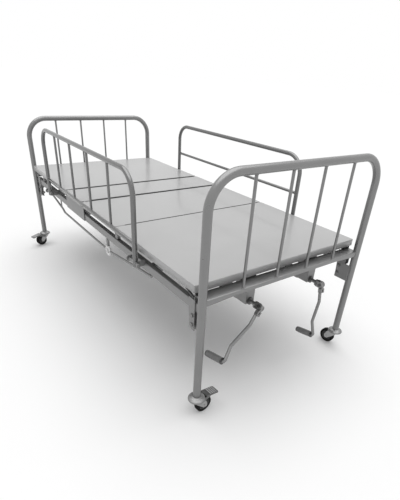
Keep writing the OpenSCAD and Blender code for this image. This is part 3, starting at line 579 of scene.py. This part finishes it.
MEMBER_LOW, MEMBER_TOP = 474, 512
member = box_tube((-1006, 418, MEMBER_LOW), (1006, 443, MEMBER_TOP), 2)
piece("far_side_tube", member, "frame", frame_coat, ["far_side_member"])
piece("near_side_tube", flipped(member, 1), "frame", frame_coat, ["near_side_member"])

# %% [markdown]
# A deck section is one steel sheet whose four edges are folded down. The fold's outer radius is a
# little more than the sheet. The top is one flat face inside a narrow flat border, so that the soft
# fold doesn't shade the whole top. The lips across a hinge stop short of the hinge plates.

# %% The four deck sections
DECK_TOP, DECK_HALF, LIP, SHEET = 592.0, 459.5, 31.0, 2.0
HINGE_ZONE = 22.0


def folded_sheet(x0, x1, hinged_head, hinged_foot, corner=5.5, fold=2.4, border=1.4):
    """Loop round the section, moved inward and down row by row: flat border, quarter circle, lip.

    The parts of a lip that stand beside the hinge plates are left out.
    """
    y = DECK_HALF
    run = 2 * y - 2 * corner
    stops = np.array([0, 1, HINGE_ZONE - corner, HINGE_ZONE - corner + 1]) / run
    stops = np.concatenate([stops, 1 - stops[::-1]])
    q = np.linspace(0, math.pi / 2, 6)
    rows, normals = [], []
    for turn, (x, yy) in enumerate([(x1, y), (x0, y), (x0, -y), (x1, -y)]):
        inset = math.copysign(corner, x - (x0 + x1) / 2), math.copysign(corner, yy)
        a = q + turn * math.pi / 2
        n = np.column_stack([np.cos(a), np.sin(a)])
        rows.append(np.array([x - inset[0], yy - inset[1]]) + corner * n)
        normals.append(n)
        if turn in (1, 3):
            way = turn - 2.0
            ys = (stops * run - (y - corner)) * way
            rows.append(np.column_stack([np.full(len(ys), x), ys])[1:-1])
            normals.append(np.tile([way, 0.0], (len(ys) - 2, 1)))
    loop, normal = np.concatenate(rows), np.concatenate(normals)
    t = np.linspace(0, math.pi / 2, 7)
    inward = np.concatenate([[fold + border], fold * (1 - np.sin(t)), [0, 0]])
    down = np.concatenate([[0], fold * (1 - np.cos(t)), [fold + border, LIP]])
    flat = loop[None] - inward[:, None, None] * normal[None]
    height = np.broadcast_to((DECK_TOP - down)[:, None, None], (*flat.shape[:2], 1))
    points, quads, _ = grid(np.concatenate([flat, height], -1), round_j=True)
    m = len(loop)
    row, col = quads[:, 0] // m, quads[:, 0] % m
    after = (col + 1) % m
    crosswise = np.abs(loop[col, 0] - loop[after, 0]) < 1e-9
    edge_y = np.minimum(np.abs(loop[col, 1]), np.abs(loop[after, 1]))
    by_plate = crosswise & (edge_y > y - HINGE_ZONE - 0.5) & (row > len(t) - 1)
    head_end = loop[col, 0] < (x0 + x1) / 2
    gone = by_plate & np.where(head_end, hinged_head, hinged_foot)
    return points, quads[~gone], [np.arange(m)]


SECTIONS = {"backrest": (-1010, -341, False, True, "backrest"),
            "seat": (-325, -90, True, True, "frame"),
            "thigh": (-74, 338.5, True, True, "thigh"),
            "calf": (343.5, 991, True, False, "calf")}
for name, (x0, x1, head, foot, body) in SECTIONS.items():
    piece(f"{name}_sheet", folded_sheet(x0, x1, head, foot), body, deck_coat,
          [f"{name}_section"], thickness=SHEET)

# %% [markdown]
# A side rail is the same kind of bent tube, smaller, with a long bar and upright bars welded in.
# Its two feet turn on bolts between the ears of folded brackets.

# %% The side rails and their brackets
RAIL_X, RAIL_HALF, RAIL_Y, RAIL_R, RAIL_TOP = -4.0, 584.0, 481.0, 11.0, 892.0
RAIL_FOOT, RAIL_BEND, LONG_BAR_R, UPRIGHT_R, PIVOT_Z = 499, 95, 8, 6, 512.0
BACK, EAR_TIP, EAR_LOW, EAR_TOP, EAR_WALL = 443, 493, 498, 524, 4


def rail(side, low_bar, uprights):
    """The U in a plane square to Y, plus a long bar and the uprights that stand on it."""
    x0, x1, y = RAIL_X - RAIL_HALF, RAIL_X + RAIL_HALF, side * RAIL_Y
    legs = [[x0, y, RAIL_FOOT], [x0, y, RAIL_TOP], [x1, y, RAIL_TOP], [x1, y, RAIL_FOOT]]
    parts = [tube(bent(legs, RAIL_BEND, steps=20), RAIL_R, (0, 1, 0), sides=36),
             rod([x0 + 3, y, low_bar], [x1 - 3, y, low_bar], LONG_BAR_R)]
    for x, way in ((x0 + RAIL_R, 1), (x1 - RAIL_R, -1)):
        parts.append(bead([x, y, low_bar], (way, 0, 0), (0, 1, 0), LONG_BAR_R, RAIL_R))
    for x in uprights:
        parts += [rod([x, y, low_bar], [x, y, RAIL_TOP - 2], UPRIGHT_R),
                  bead([x, y, low_bar + LONG_BAR_R], (0, 0, 1), (0, 1, 0), UPRIGHT_R, LONG_BAR_R),
                  bead([x, y, RAIL_TOP - RAIL_R], (0, 0, -1), (0, 1, 0), UPRIGHT_R, RAIL_R)]
    return join(*parts)


steps = [RAIL_X + RAIL_HALF * k for k in (-0.6, -0.2, 0.2, 0.6)]
piece("near_rail_tubes", rail(-1, 600, steps), "near_side_rail", rail_coat,
      ["near_rail"])
piece("far_rail_tubes", rail(1, 703, []), "far_side_rail", rail_coat, ["far_rail"])


def rail_bracket(x, side):
    """Two ears with round ends, one on each side of the rail's post, and the plate behind them."""
    outline = [[BACK, EAR_LOW], [EAR_TIP, EAR_LOW], [EAR_TIP, EAR_TOP], [BACK, EAR_TOP]]
    ear = bent(outline, [1, 11.9, 11.9, 1], closed=True, steps=10)
    parts = []
    for start in (x - 63, x + 12):
        loop = np.column_stack([np.full(len(ear), start), ear[:, 0] * side, ear[:, 1]])
        parts.append(plate(loop, (EAR_WALL, 0, 0)))
    ys = sorted((side * BACK, side * (BACK + EAR_WALL)))
    parts.append(block((x - 62.9, ys[0], EAR_LOW), (x + 15.9, ys[1], PIVOT_Z), 1))
    return join(*parts)


brackets = [rail_bracket(RAIL_X + s * RAIL_HALF, side) for s in (-1, 1) for side in (-1, 1)]
piece("rail_pivot_brackets", join(*brackets), "frame", frame_coat,
      ["rail_brackets"], bevel=0.5)

# %% [markdown]
# A hexagon head is a turned piece whose radius follows six flats: the flat's distance divided by the
# cosine of the angle from the middle of that flat. A cone across its corners gives the chamfer.

# %% The frame's bolts
def six_flats(a):
    """Radius factor of a hexagon of half width 1."""
    return 1 / np.cos((a % (math.pi / 3)) - math.pi / 6)


def hexagon(origin, axis, half_width, height, chamfer=1.2, widest=1.06, sides=36):
    """Head or nut: flats below, with the corners cut by a cone toward the outer face."""
    flats = [[0, 0], [half_width, 0], [half_width, height - chamfer]]
    cone = [[half_width * widest, height - chamfer], [half_width * 0.92, height], [0, height]]
    body = turned(flats, origin, axis, sides, six_flats)
    top = turned(cone, origin, axis, sides, lambda a: np.minimum(six_flats(a), widest) / widest)
    ring = grid(np.stack([body[0][-sides:], top[0][:sides]]), round_j=True)
    return join(body, top, ring)


def washer(origin, axis, inner, outer, height, edge=0.3):
    """A flat ring with its outer edges broken."""
    profile = [[inner, 0], [outer - edge, 0], [outer, edge], [outer, height - edge],
               [outer - edge, height], [inner, height], [inner, 0]]
    return turned(profile, origin, axis)


def corner_bolt(x_side, y_side, x, z):
    """Through both corner plates: hexagon and washer outside, spacer between, nut inside."""
    def at(y):
        return [x_side * x, y_side * y, z]
    out = (0, y_side, 0)
    return join(rod(at(418.5), at(449), 5), hexagon(at(448.4), out, 7, 4.4),
                washer(at(447), out, 4.6, 9, 1.4), rod(at(435.1), at(442.9), 8),
                hexagon(at(429), (0, -y_side, 0), 7, 6.6))


def rail_pivot(x, y_side):
    """Bolt along X through both ears and the rail's post, with a shoulder and a long round nut."""
    nut = [[0, 0], [9.2, 0], [9.8, 0.6], [9.8, 16.8], [8.6, 18], [0, 18]]

    def at(along):
        return [x + along, y_side * RAIL_Y, PIVOT_Z]
    return join(rod(at(-71.5), at(35.5), 4), turned(nut, at(16), (1, 0, 0)),
                rod(at(-59), at(-11.4), 6), hexagon(at(-63), (-1, 0, 0), 7, 6))


PLATE_BOLTS = ((967, 412), (967, 452))
corner_signs = [(sx, sy) for sx in (-1, 1) for sy in (-1, 1)]
bolts = [corner_bolt(sx, sy, x, z) for sx, sy in corner_signs for x, z in PLATE_BOLTS]
bolts += [rail_pivot(RAIL_X + sx * RAIL_HALF, sy) for sx, sy in corner_signs]
piece("hexagon_bolts", join(*bolts), "frame", zinc, ["frame_bolts"])

# %% [markdown]
# The rubber buffers that the deck rests on are moulded blocks with well rounded edges.

# %% Buffers
BUFFER_TOP, BUFFER_EDGE = 560.4, 2.5
at_corners = mirrored(block((970, 402, CROSS_TOP), (990, 444, BUFFER_TOP), BUFFER_EDGE), 0)
at_cranks = block((935, 183, CROSS_TOP), (967, 225, BUFFER_TOP), BUFFER_EDGE)
piece("rubber_buffers", join(mirrored(at_corners, 1), mirrored(at_cranks, 1)), "frame",
      buffer_rubber, ["deck_buffers"])

# %% [markdown]
# The rod under the near side member is cold-bent wire. A thin strut and the neck of its ring hold it
# to the member. The ring is a torus with a round section: centre circle plus section circle.

# %% The utility rod
def torus(centre, ring_r, wire_r, sides=64):
    """Centre + (ring_r + wire_r cos b) round the Y axis + wire_r sin b along it."""
    a = np.linspace(0, 2 * math.pi, sides, endpoint=False)[:, None]
    b = np.linspace(0, 2 * math.pi, 20, endpoint=False)[None, :]
    away = ring_r + wire_r * np.cos(b)
    flat = np.stack([away * np.cos(a), wire_r * np.sin(b) + 0 * a, away * np.sin(a)], -1)
    return grid(np.asarray(centre, float) + flat, round_i=True, round_j=True)


ROD_Y, ROD_R, ROD_LOW, ROD_END, RING_X = -439.0, 6, 410, 466, 189
long_run = [[-705, ROD_Y, ROD_END], [-507, ROD_Y, 424], [-478, ROD_Y, ROD_LOW], [167, ROD_Y, ROD_LOW]]
tail = [[211, ROD_Y, ROD_LOW], [430, ROD_Y, 438.1], [647, ROD_Y, ROD_END]]
neck = block((RING_X - 8, ROD_Y - 5.9, 434), (RING_X + 8, ROD_Y + 5.9, MEMBER_LOW), 1.5)
strut = rod([-530, ROD_Y, 430], [-530, ROD_Y, MEMBER_LOW], 4)
hanger = join(tube(bent(long_run, 25, steps=8), ROD_R, (0, 1, 0), 28),
              tube(tail, ROD_R, (0, 1, 0), 28), neck, strut)
ring = torus((RING_X, ROD_Y, ROD_LOW), 22, 6.4)
piece("hanging_rod", hanger, "frame", tube_coat, ["utility_rod"])
piece("hanging_ring", ring, "frame", ring_plastic)

# %% [markdown]
# Each crank arm is a rod bent three times, welded into a block with a flat tongue that turns between
# the knuckle's cheeks. A window through the block saves weight. Everything is drawn once, hanging
# straight down in the XZ plane, and a turn about the crank's axis gives each crank its own swing.

# %% The crank arms
CRANK_Y, CRANK_Z, KNUCKLE_X, FOLD = 185.0, 450.0, 1055.0, math.radians(11.3)
SWINGS = {"backrest": (-1, -47.7), "knee": (1, -3.5)}
ARM, ARM_R, SPINDLE_R = [(80, 0), (187, -29), (254, -18)], 7, 4


def on_arm(points):
    """Rows of (a, y, b), a along the hanging arm and b away from the bed, as points in space."""
    a, y, b = np.moveaxis(np.asarray(points, float), -1, 0)
    c, s = math.cos(FOLD), math.sin(FOLD)
    return np.stack([a * s + b * c, y, -a * c + b * s], -1)


def arm_point(a, b):
    """The point (a, b) in the arm's own XZ plane."""
    return on_arm((a, 0, b))


def swung(name):
    """Turns a shape about the crank's axis by its swing, and moves it to its knuckle."""
    side, swing = SWINGS[name]
    c, s = math.cos(math.radians(swing)), math.sin(math.radians(swing))
    turn = np.array([[1, 0, 0], [0, c, -s], [0, s, c]])
    return lambda p: p @ turn.T + (KNUCKLE_X, side * CRANK_Y, CRANK_Z)


def spindle_point(distance):
    """Point on the grip's axis, so far from the arm's last corner toward the bed."""
    return arm_point(ARM[-1][0], ARM[-1][1] - distance)


BLOCK_BACK, BLOCK_FRONT, TONGUE_HALF, EYE_R = -2.9, 12.9, 5.5, 13.9
eye = [[-EYE_R, -13.7], [-EYE_R, BLOCK_FRONT], [18, BLOCK_FRONT], [18, BLOCK_BACK], [13.6, BLOCK_BACK],
       [13.6, -13.7]]
eye = bent(eye, [13.2, 12.6, 1, 0.5, 0.8, 10], closed=True, steps=12)
tongue = plate(on_arm(at_y(eye, -TONGUE_HALF)), (0, 2 * TONGUE_HALF, 0))
outer = bent([[16, -11.4], [16, 11.4], [36, 11.4], [36, -11.4]], 2.2, closed=True, steps=6)
window = bent([[20, -3.5], [20, 3.5], [31, 3.5], [31, -3.5]], 1.2, closed=True, steps=6)
rims = ((outer, BLOCK_BACK), (outer, BLOCK_FRONT), (window, BLOCK_FRONT), (window, BLOCK_BACK))
sleeve = [on_arm(np.column_stack([rim, np.full(len(rim), b)])) for rim, b in rims]
head = grid(np.stack(sleeve), round_i=True, round_j=True)
corners = [arm_point(32, 0), *[arm_point(*p) for p in ARM], spindle_point(10)]
arm = tube(bent(corners, [0, 22, 26, 8, 0], steps=12), ARM_R, (0, 1, 0), 32)
inward = arm_point(0, -1) - arm_point(0, 0)
flange = turned([[0, 0], [13.4, 0], [14, 0.5], [14, 3.5], [13.4, 4], [0, 4]], spindle_point(9), inward)
spindle = rod(spindle_point(9), spindle_point(95.5), SPINDLE_R)
cap = turned([[0, 0], [11.4, 0], [12, 0.5], [11.6, 2.4], [9, 3.6], [0, 4]], spindle_point(94), inward)

# %% [markdown]
# The grip is turned plastic with shallow finger rings and round ends, on a spindle between two dark
# washers. Its profile is a barrel, radius = 13.2 + a low arch, less the rings, and never more than
# the round of the ends.

# %% The grips, and all that swings with a crank
GRIP_LONG, GRIP_BORE, FINGER_RINGS = 79.6, 4.05, 8
along = np.linspace(0, 1, 81)
rings = np.clip(np.cos(along * 2 * math.pi * FINGER_RINGS), 0, 1)
barrel = 13.2 + 0.75 * np.sin(math.pi * along) ** 0.5 - 0.25 * rings
round_end = np.clip(np.minimum(along, 1 - along) * 14, 0, 1)
barrel = np.minimum(barrel, 8.6 + np.sqrt(np.clip(1 - (1 - round_end) ** 2, 0, 1)) * 5.3)
outside = np.column_stack([barrel, along * GRIP_LONG])
profile = np.concatenate([[[GRIP_BORE, 0]], outside, [[GRIP_BORE, GRIP_LONG], [GRIP_BORE, 0]]])
grip = turned(profile, spindle_point(13.7), inward, 44)
for name in SWINGS:
    place = swung(name)
    piece(f"{name}_crank_rod", moved(join(tongue, head, arm, spindle), place), f"{name}_arm",
          tube_coat, [f"{name}_crank_arm"])
    piece(f"{name}_grip_washers", moved(join(flange, cap), place), f"{name}_arm",
          dark_zinc)
    piece(f"{name}_hand_grip", moved(grip, place), f"{name}_grip",
          grip_plastic, [f"{name}_crank_grip"])

# %% [markdown]
# The casters stand under the legs, each turned its own way as in the photograph. The pressed cover
# and the crown are turned shapes, and the fork cheeks are thin plates with bevelled edges.

# %% Casters: covers and forks
WHEEL_R, TRAIL, PEDAL_PIVOT = 37.5, 36.0, (8, 66)
LEGS = {"near_foot": (1, -1, 95), "far_foot": (1, 1, 186),
        "near_head": (-1, -1, 285), "far_head": (-1, 1, 78)}
BRAKED = ("near_foot", "near_head")


def at_leg(leg):
    """Turns a caster's shape about the leg's axis and moves it under its leg."""
    sx, sy, turn = LEGS[leg]
    c, s = math.cos(math.radians(turn)), math.sin(math.radians(turn))
    spin = np.array([[c, -s, 0], [s, c, 0], [0, 0, 1]])
    return lambda p: p @ spin.T + (sx * END_X, sy * LEG_Y, 0)


cover = [[5.5, 82.2], [35.9, 82.2], [35.9, 88], [27, 93.5], [18.2, 97.2], [16.2, 98], [5.5, 98]]
cover = bent(cover, [0, 1.2, 6, 9, 1, 0.6, 0], steps=8)
cover = turned(np.concatenate([cover, cover[:1]]), (0, 0, 0), (0, 0, 1), 56)
cover = join(cover, rod([0, 0, 75], [0, 0, 110], 5.4), rod([0, 0, 74.1], [0, 0, 76.6], 8.4))
piece("swivel_covers", join(*[moved(cover, at_leg(leg)) for leg in LEGS]), "frame",
      zinc, ["caster_tops"])

CHEEK_Y, CHEEK_WALL = 15.5, 3


def fork(pivots):
    """Crown plate, two cheeks with rounded outlines, axle with hexagons, and the pedal's pivots."""
    cheek = [[-15, 80], [-16, 71], [27, 28.5], [45, 28.5], [45, 45], [33, 71], [17, 80]]
    cheek = bent(cheek, [1, 6, 8.9, 8.9, 9, 10, 1], closed=True, steps=8)
    crown = [[5.6, 77], [22.5, 77], [24, 78.2], [22.5, 80], [13, 80.2], [12, 81.6], [5.6, 81.6],
             [5.6, 77]]
    parts = [mirrored(plate(at_y(cheek, CHEEK_Y), (0, CHEEK_WALL, 0)), 1),
             turned(crown, (0, 0, 0), (0, 0, 1)),
             rod([TRAIL, -21.4, WHEEL_R], [TRAIL, 21.4, WHEEL_R], 4)]
    for s in (-1, 1):
        parts.append(hexagon([TRAIL, s * (CHEEK_Y + CHEEK_WALL), WHEEL_R], (0, s, 0), 5.8, 3.4))
    if pivots:
        x, z = PEDAL_PIVOT
        parts.append(mirrored(rod([x, 18.4, z], [x, 21.6, z], 3), 1))
    return join(*parts)


for leg in LEGS:
    piece(f"{leg}_fork_plates", moved(fork(leg in BRAKED), at_leg(leg)), f"{leg}_caster",
          bright_zinc, [f"{leg}_fork"], bevel=0.4)

# %% [markdown]
# A wheel is a rubber tyre with rounded shoulders and two thin grooves, on a moulded hub. The tyre is
# turned from its profile. A hub's face is a grid of radius and angle, where the cosine of five times
# the angle leaves five webs standing in a shallow dish.

# %% Casters: wheels
a = np.linspace(-math.pi / 2, math.pi / 2, 10)
TYRE_HALF, SHOULDER, GROOVE_FLOOR = 12.5, 4.6, WHEEL_R - 0.9
inner = WHEEL_R - SHOULDER
low_round, high_round = [
    np.column_stack([inner + SHOULDER * np.cos(part), middle + SHOULDER * np.sin(part)])
    for part, middle in ((a[:5], -TYRE_HALF + SHOULDER), (a[5:], TYRE_HALF - SHOULDER))]
tread = np.concatenate([
    [[26, -TYRE_HALF], [29.5, -TYRE_HALF], [30.3, -12.1], [31.2, -TYRE_HALF], [inner, -TYRE_HALF]],
    low_round,
    [[WHEEL_R - 0.1, -5], [GROOVE_FLOOR, -4.4], [GROOVE_FLOOR, -3.6], [WHEEL_R, -3]],
    [[WHEEL_R, 3], [GROOVE_FLOOR, 3.6], [GROOVE_FLOOR, 4.4], [WHEEL_R - 0.1, 5]],
    high_round,
    [[inner, TYRE_HALF], [31.2, TYRE_HALF], [30.3, 12.1], [29.5, TYRE_HALF], [26, TYRE_HALF]],
    [[26, -TYRE_HALF]]])
tyre = turned(tread, (TRAIL, 0, WHEEL_R), (0, 1, 0), 72)


def hub_face(side):
    """Depth = rim level, less a dish between r 9.5 and r 24.6 that five webs, cos 5a, fill again."""
    r = np.array([4.1, 7.6, 8, 9.5, 11.5, 14, 18, 21.5, 23.6, 24.6, 26])[:, None]
    angle = np.linspace(0, 2 * math.pi, 60, endpoint=False)[None, :]
    bowl = np.clip((r - 9.5) / 3, 0, 1) * np.clip((24.6 - r) / 2.4, 0, 1)
    web = np.clip((np.cos(5 * angle) - 0.45) * 4, 0, 1)
    depth = np.where(r < 8, 15.1, 11.5) - bowl * 4.2 * (1 - web)
    x, z = TRAIL + r * np.cos(angle), WHEEL_R + r * np.sin(angle)
    return np.stack([x, side * depth + 0 * angle, z], -1)


hub = grid(np.concatenate([hub_face(-1), hub_face(1)[::-1]]), round_i=True, round_j=True)
for leg in LEGS:
    piece(f"{leg}_wheel_tyre", moved(tyre, at_leg(leg)), f"{leg}_wheel",
          tyre_rubber, [f"{leg}_tyre"])
    piece(f"{leg}_wheel_hub", moved(hub, at_leg(leg)), f"{leg}_wheel",
          hub_plastic, [f"{leg}_hub"])

# %% [markdown]
# The brake pedals on the near casters are pressed stirrups: two side arms on the fork's pivots and a
# tread plate with four ribs across it.

# %% Brake pedals
def tread_z(x):
    """Height of the tread's middle plane, which falls 12 mm toward its tip."""
    return 84.5 - 12 * (np.asarray(x) - 39) / 66


side_arm = [[2, 62], [12, 60.5], [59, 73.5], [59, 80.6], [39, 83.5], [4, 72]]
side_arm = bent(side_arm, [5.5, 3, 4, 1, 2, 5], closed=True, steps=6)
arms = mirrored(plate(at_y(side_arm, 18.8), (0, 2.2, 0)), 1)
edge = bent([[39, -21], [105.6, -21], [105.6, 21], [39, 21]], [1, 7, 7, 1], closed=True, steps=8)
tread_plate = plate(np.column_stack([edge, tread_z(edge[:, 0]) - 2.4]), (0, 0, 4.8))
RIB_HALF, RIB_R = 17.8, 2.9
ribs = [rod([x, -RIB_HALF, tread_z(x) + 2.3], [x, RIB_HALF, tread_z(x) + 2.3], RIB_R, 20)
        for x in (65, 75, 85, 95)]
for leg in BRAKED:
    piece(f"{leg}_pedal_plate", moved(join(arms, tread_plate), at_leg(leg)), f"{leg}_pedal",
          iron, [f"{leg}_brake_pedal"], bevel=0.6)
    piece(f"{leg}_pedal_ribs", moved(join(*ribs), at_leg(leg)), f"{leg}_pedal",
          bright_zinc)

# %% [markdown]
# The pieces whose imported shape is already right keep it: bearing brackets, corner plates, hinge
# plates, ribs, levers, housings, screws, nuts and pins. They only get the coat of their kind.

# %% Coats for the carried-over pieces
COATS = {
    frame_coat: ["corner_plates", "seat_side_plates", "crank_bearing_brackets", "drive_housings",
                 "frame_cross_tubes"],
    under_coat: ["backrest_underframe", "thigh_underframe", "calf_underframe", "backrest_lever",
                 "knee_lever"],
    zinc: ["backrest_screw", "knee_screw", "backrest_push_tube", "knee_push_tube"],
    dark_zinc: ["crank_bushings", "section_hinge_pins", "calf_hinge_pins", "backrest_crank_pin",
                "knee_crank_pin", "backrest_yoke_pin", "knee_yoke_pin"],
    iron: ["backrest_drive_nut", "knee_drive_nut"],
}
for coat, names in COATS.items():
    for name in names:
        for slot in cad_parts[name].material_slots:
            slot.material = coat
    print(coat.name, "on", len(names), "pieces")

# %% [markdown]
# The photograph was taken from above the foot end, on the near side, with a fairly wide lens and the
# camera rolled a little. The numbers come from fitting the bed's known corners to the picture, and the
# lens is shifted because the picture was cropped off its middle.

# %% The camera
lens = bpy.data.cameras.new("photo_camera")
lens.sensor_fit, lens.sensor_width, lens.lens = "AUTO", 36.0, 27.57
lens.shift_x, lens.shift_y = -0.022, 0.084
camera = bpy.data.objects.new("photo_camera", lens)
bpy.context.scene.collection.objects.link(camera)
yaw, pitch, roll = (math.radians(angle) for angle in (141.388, -29.82, 4.171))
look = Vector((math.cos(pitch) * math.cos(yaw), math.cos(pitch) * math.sin(yaw), math.sin(pitch)))
right = look.cross(Vector((0, 0, 1))).normalized()
up = right.cross(look)
turned_right = right * math.cos(roll) + up * math.sin(roll)
turned_up = up * math.cos(roll) - right * math.sin(roll)
camera.rotation_euler = Matrix((turned_right, turned_up, -look)).transposed().to_euler()
camera.location = Vector((1.9356, -1.1389, 1.2392)) + Vector(SHIFT)
bpy.context.scene.camera = camera
print("camera at", [round(c, 3) for c in camera.location])

# %% [markdown]
# The floor is plain and pale. Seen by the camera it gives off a little light of its own, so that open
# floor is as white as the sky and the bed's soft shadow still shows. One very broad lamp hangs almost
# overhead, a little toward the head end and the far side, since the shadow in the photograph falls
# a little toward the foot and the near side. The sky fills the rest.

# %% Floor, sky and lamp
CAMERA_RAY, GLOSSY_RAY, TRANSMISSION_RAY = 0, 3, 6
FLOOR_REACH, FLOOR_LIFT, SKY = 60.0, 0.13, 0.4


def seen_directly(w):
    """1 for a ray from the camera, or one mirrored or let through, and 0 for light on things."""
    kinds = (CAMERA_RAY, GLOSSY_RAY, TRANSMISSION_RAY)
    paths = [w.node("ShaderNodeLightPath", out=k) for k in kinds]
    return (paths[0] + paths[1] + paths[2]).between(0.0, 1.0)


floor_mesh = bpy.data.meshes.new("studio_floor")
far_corners = [(x * FLOOR_REACH, y * FLOOR_REACH, 0) for x, y in ((-1, -1), (1, -1), (1, 1), (-1, 1))]
floor_mesh.from_pydata(far_corners, [], [(0, 1, 2, 3)])
floor = bpy.data.objects.new("studio_floor", floor_mesh)
bpy.context.scene.collection.objects.link(floor)
floor_paint = bpy.data.materials.new("pale_floor")
floor_paint.use_nodes = True
tree = floor_paint.node_tree
tree.nodes.clear()
w = Wire(tree)
paint = w.node("ShaderNodeBsdfDiffuse", Color=(0.8, 0.8, 0.8, 1.0))
glow = w.node("ShaderNodeEmission", Color=(1.0, 1.0, 1.0, 1.0), Strength=seen_directly(w) * FLOOR_LIFT)
w.node("ShaderNodeAddShader", s0=paint, s1=glow)
tree.links.new(tree.nodes[-1].outputs[0], tree.nodes.new("ShaderNodeOutputMaterial").inputs[0])
floor_mesh.materials.append(floor_paint)

world = bpy.data.worlds.new("studio_sky")
bpy.context.scene.world = world
world.use_nodes = True
tree = world.node_tree
tree.nodes.clear()
w = Wire(tree)
w.node("ShaderNodeBackground", Color=(1.0, 1.0, 1.0, 1.0), Strength=seen_directly(w) * (1 - SKY) + SKY)
tree.links.new(tree.nodes[-1].outputs[0], tree.nodes.new("ShaderNodeOutputWorld").inputs[0])

lamp = bpy.data.lights.new("soft_sun", "SUN")
lamp.energy, lamp.angle = 2.25, math.radians(78)
lamp_stand = bpy.data.objects.new("soft_sun", lamp)
bpy.context.scene.collection.objects.link(lamp_stand)
lamp_stand.rotation_euler = Vector((0.08, -0.08, -0.99)).to_track_quat("-Z", "Y").to_euler()
bpy.context.scene.view_settings.view_transform = "Standard"
print("sky", SKY, "sun", lamp.energy)
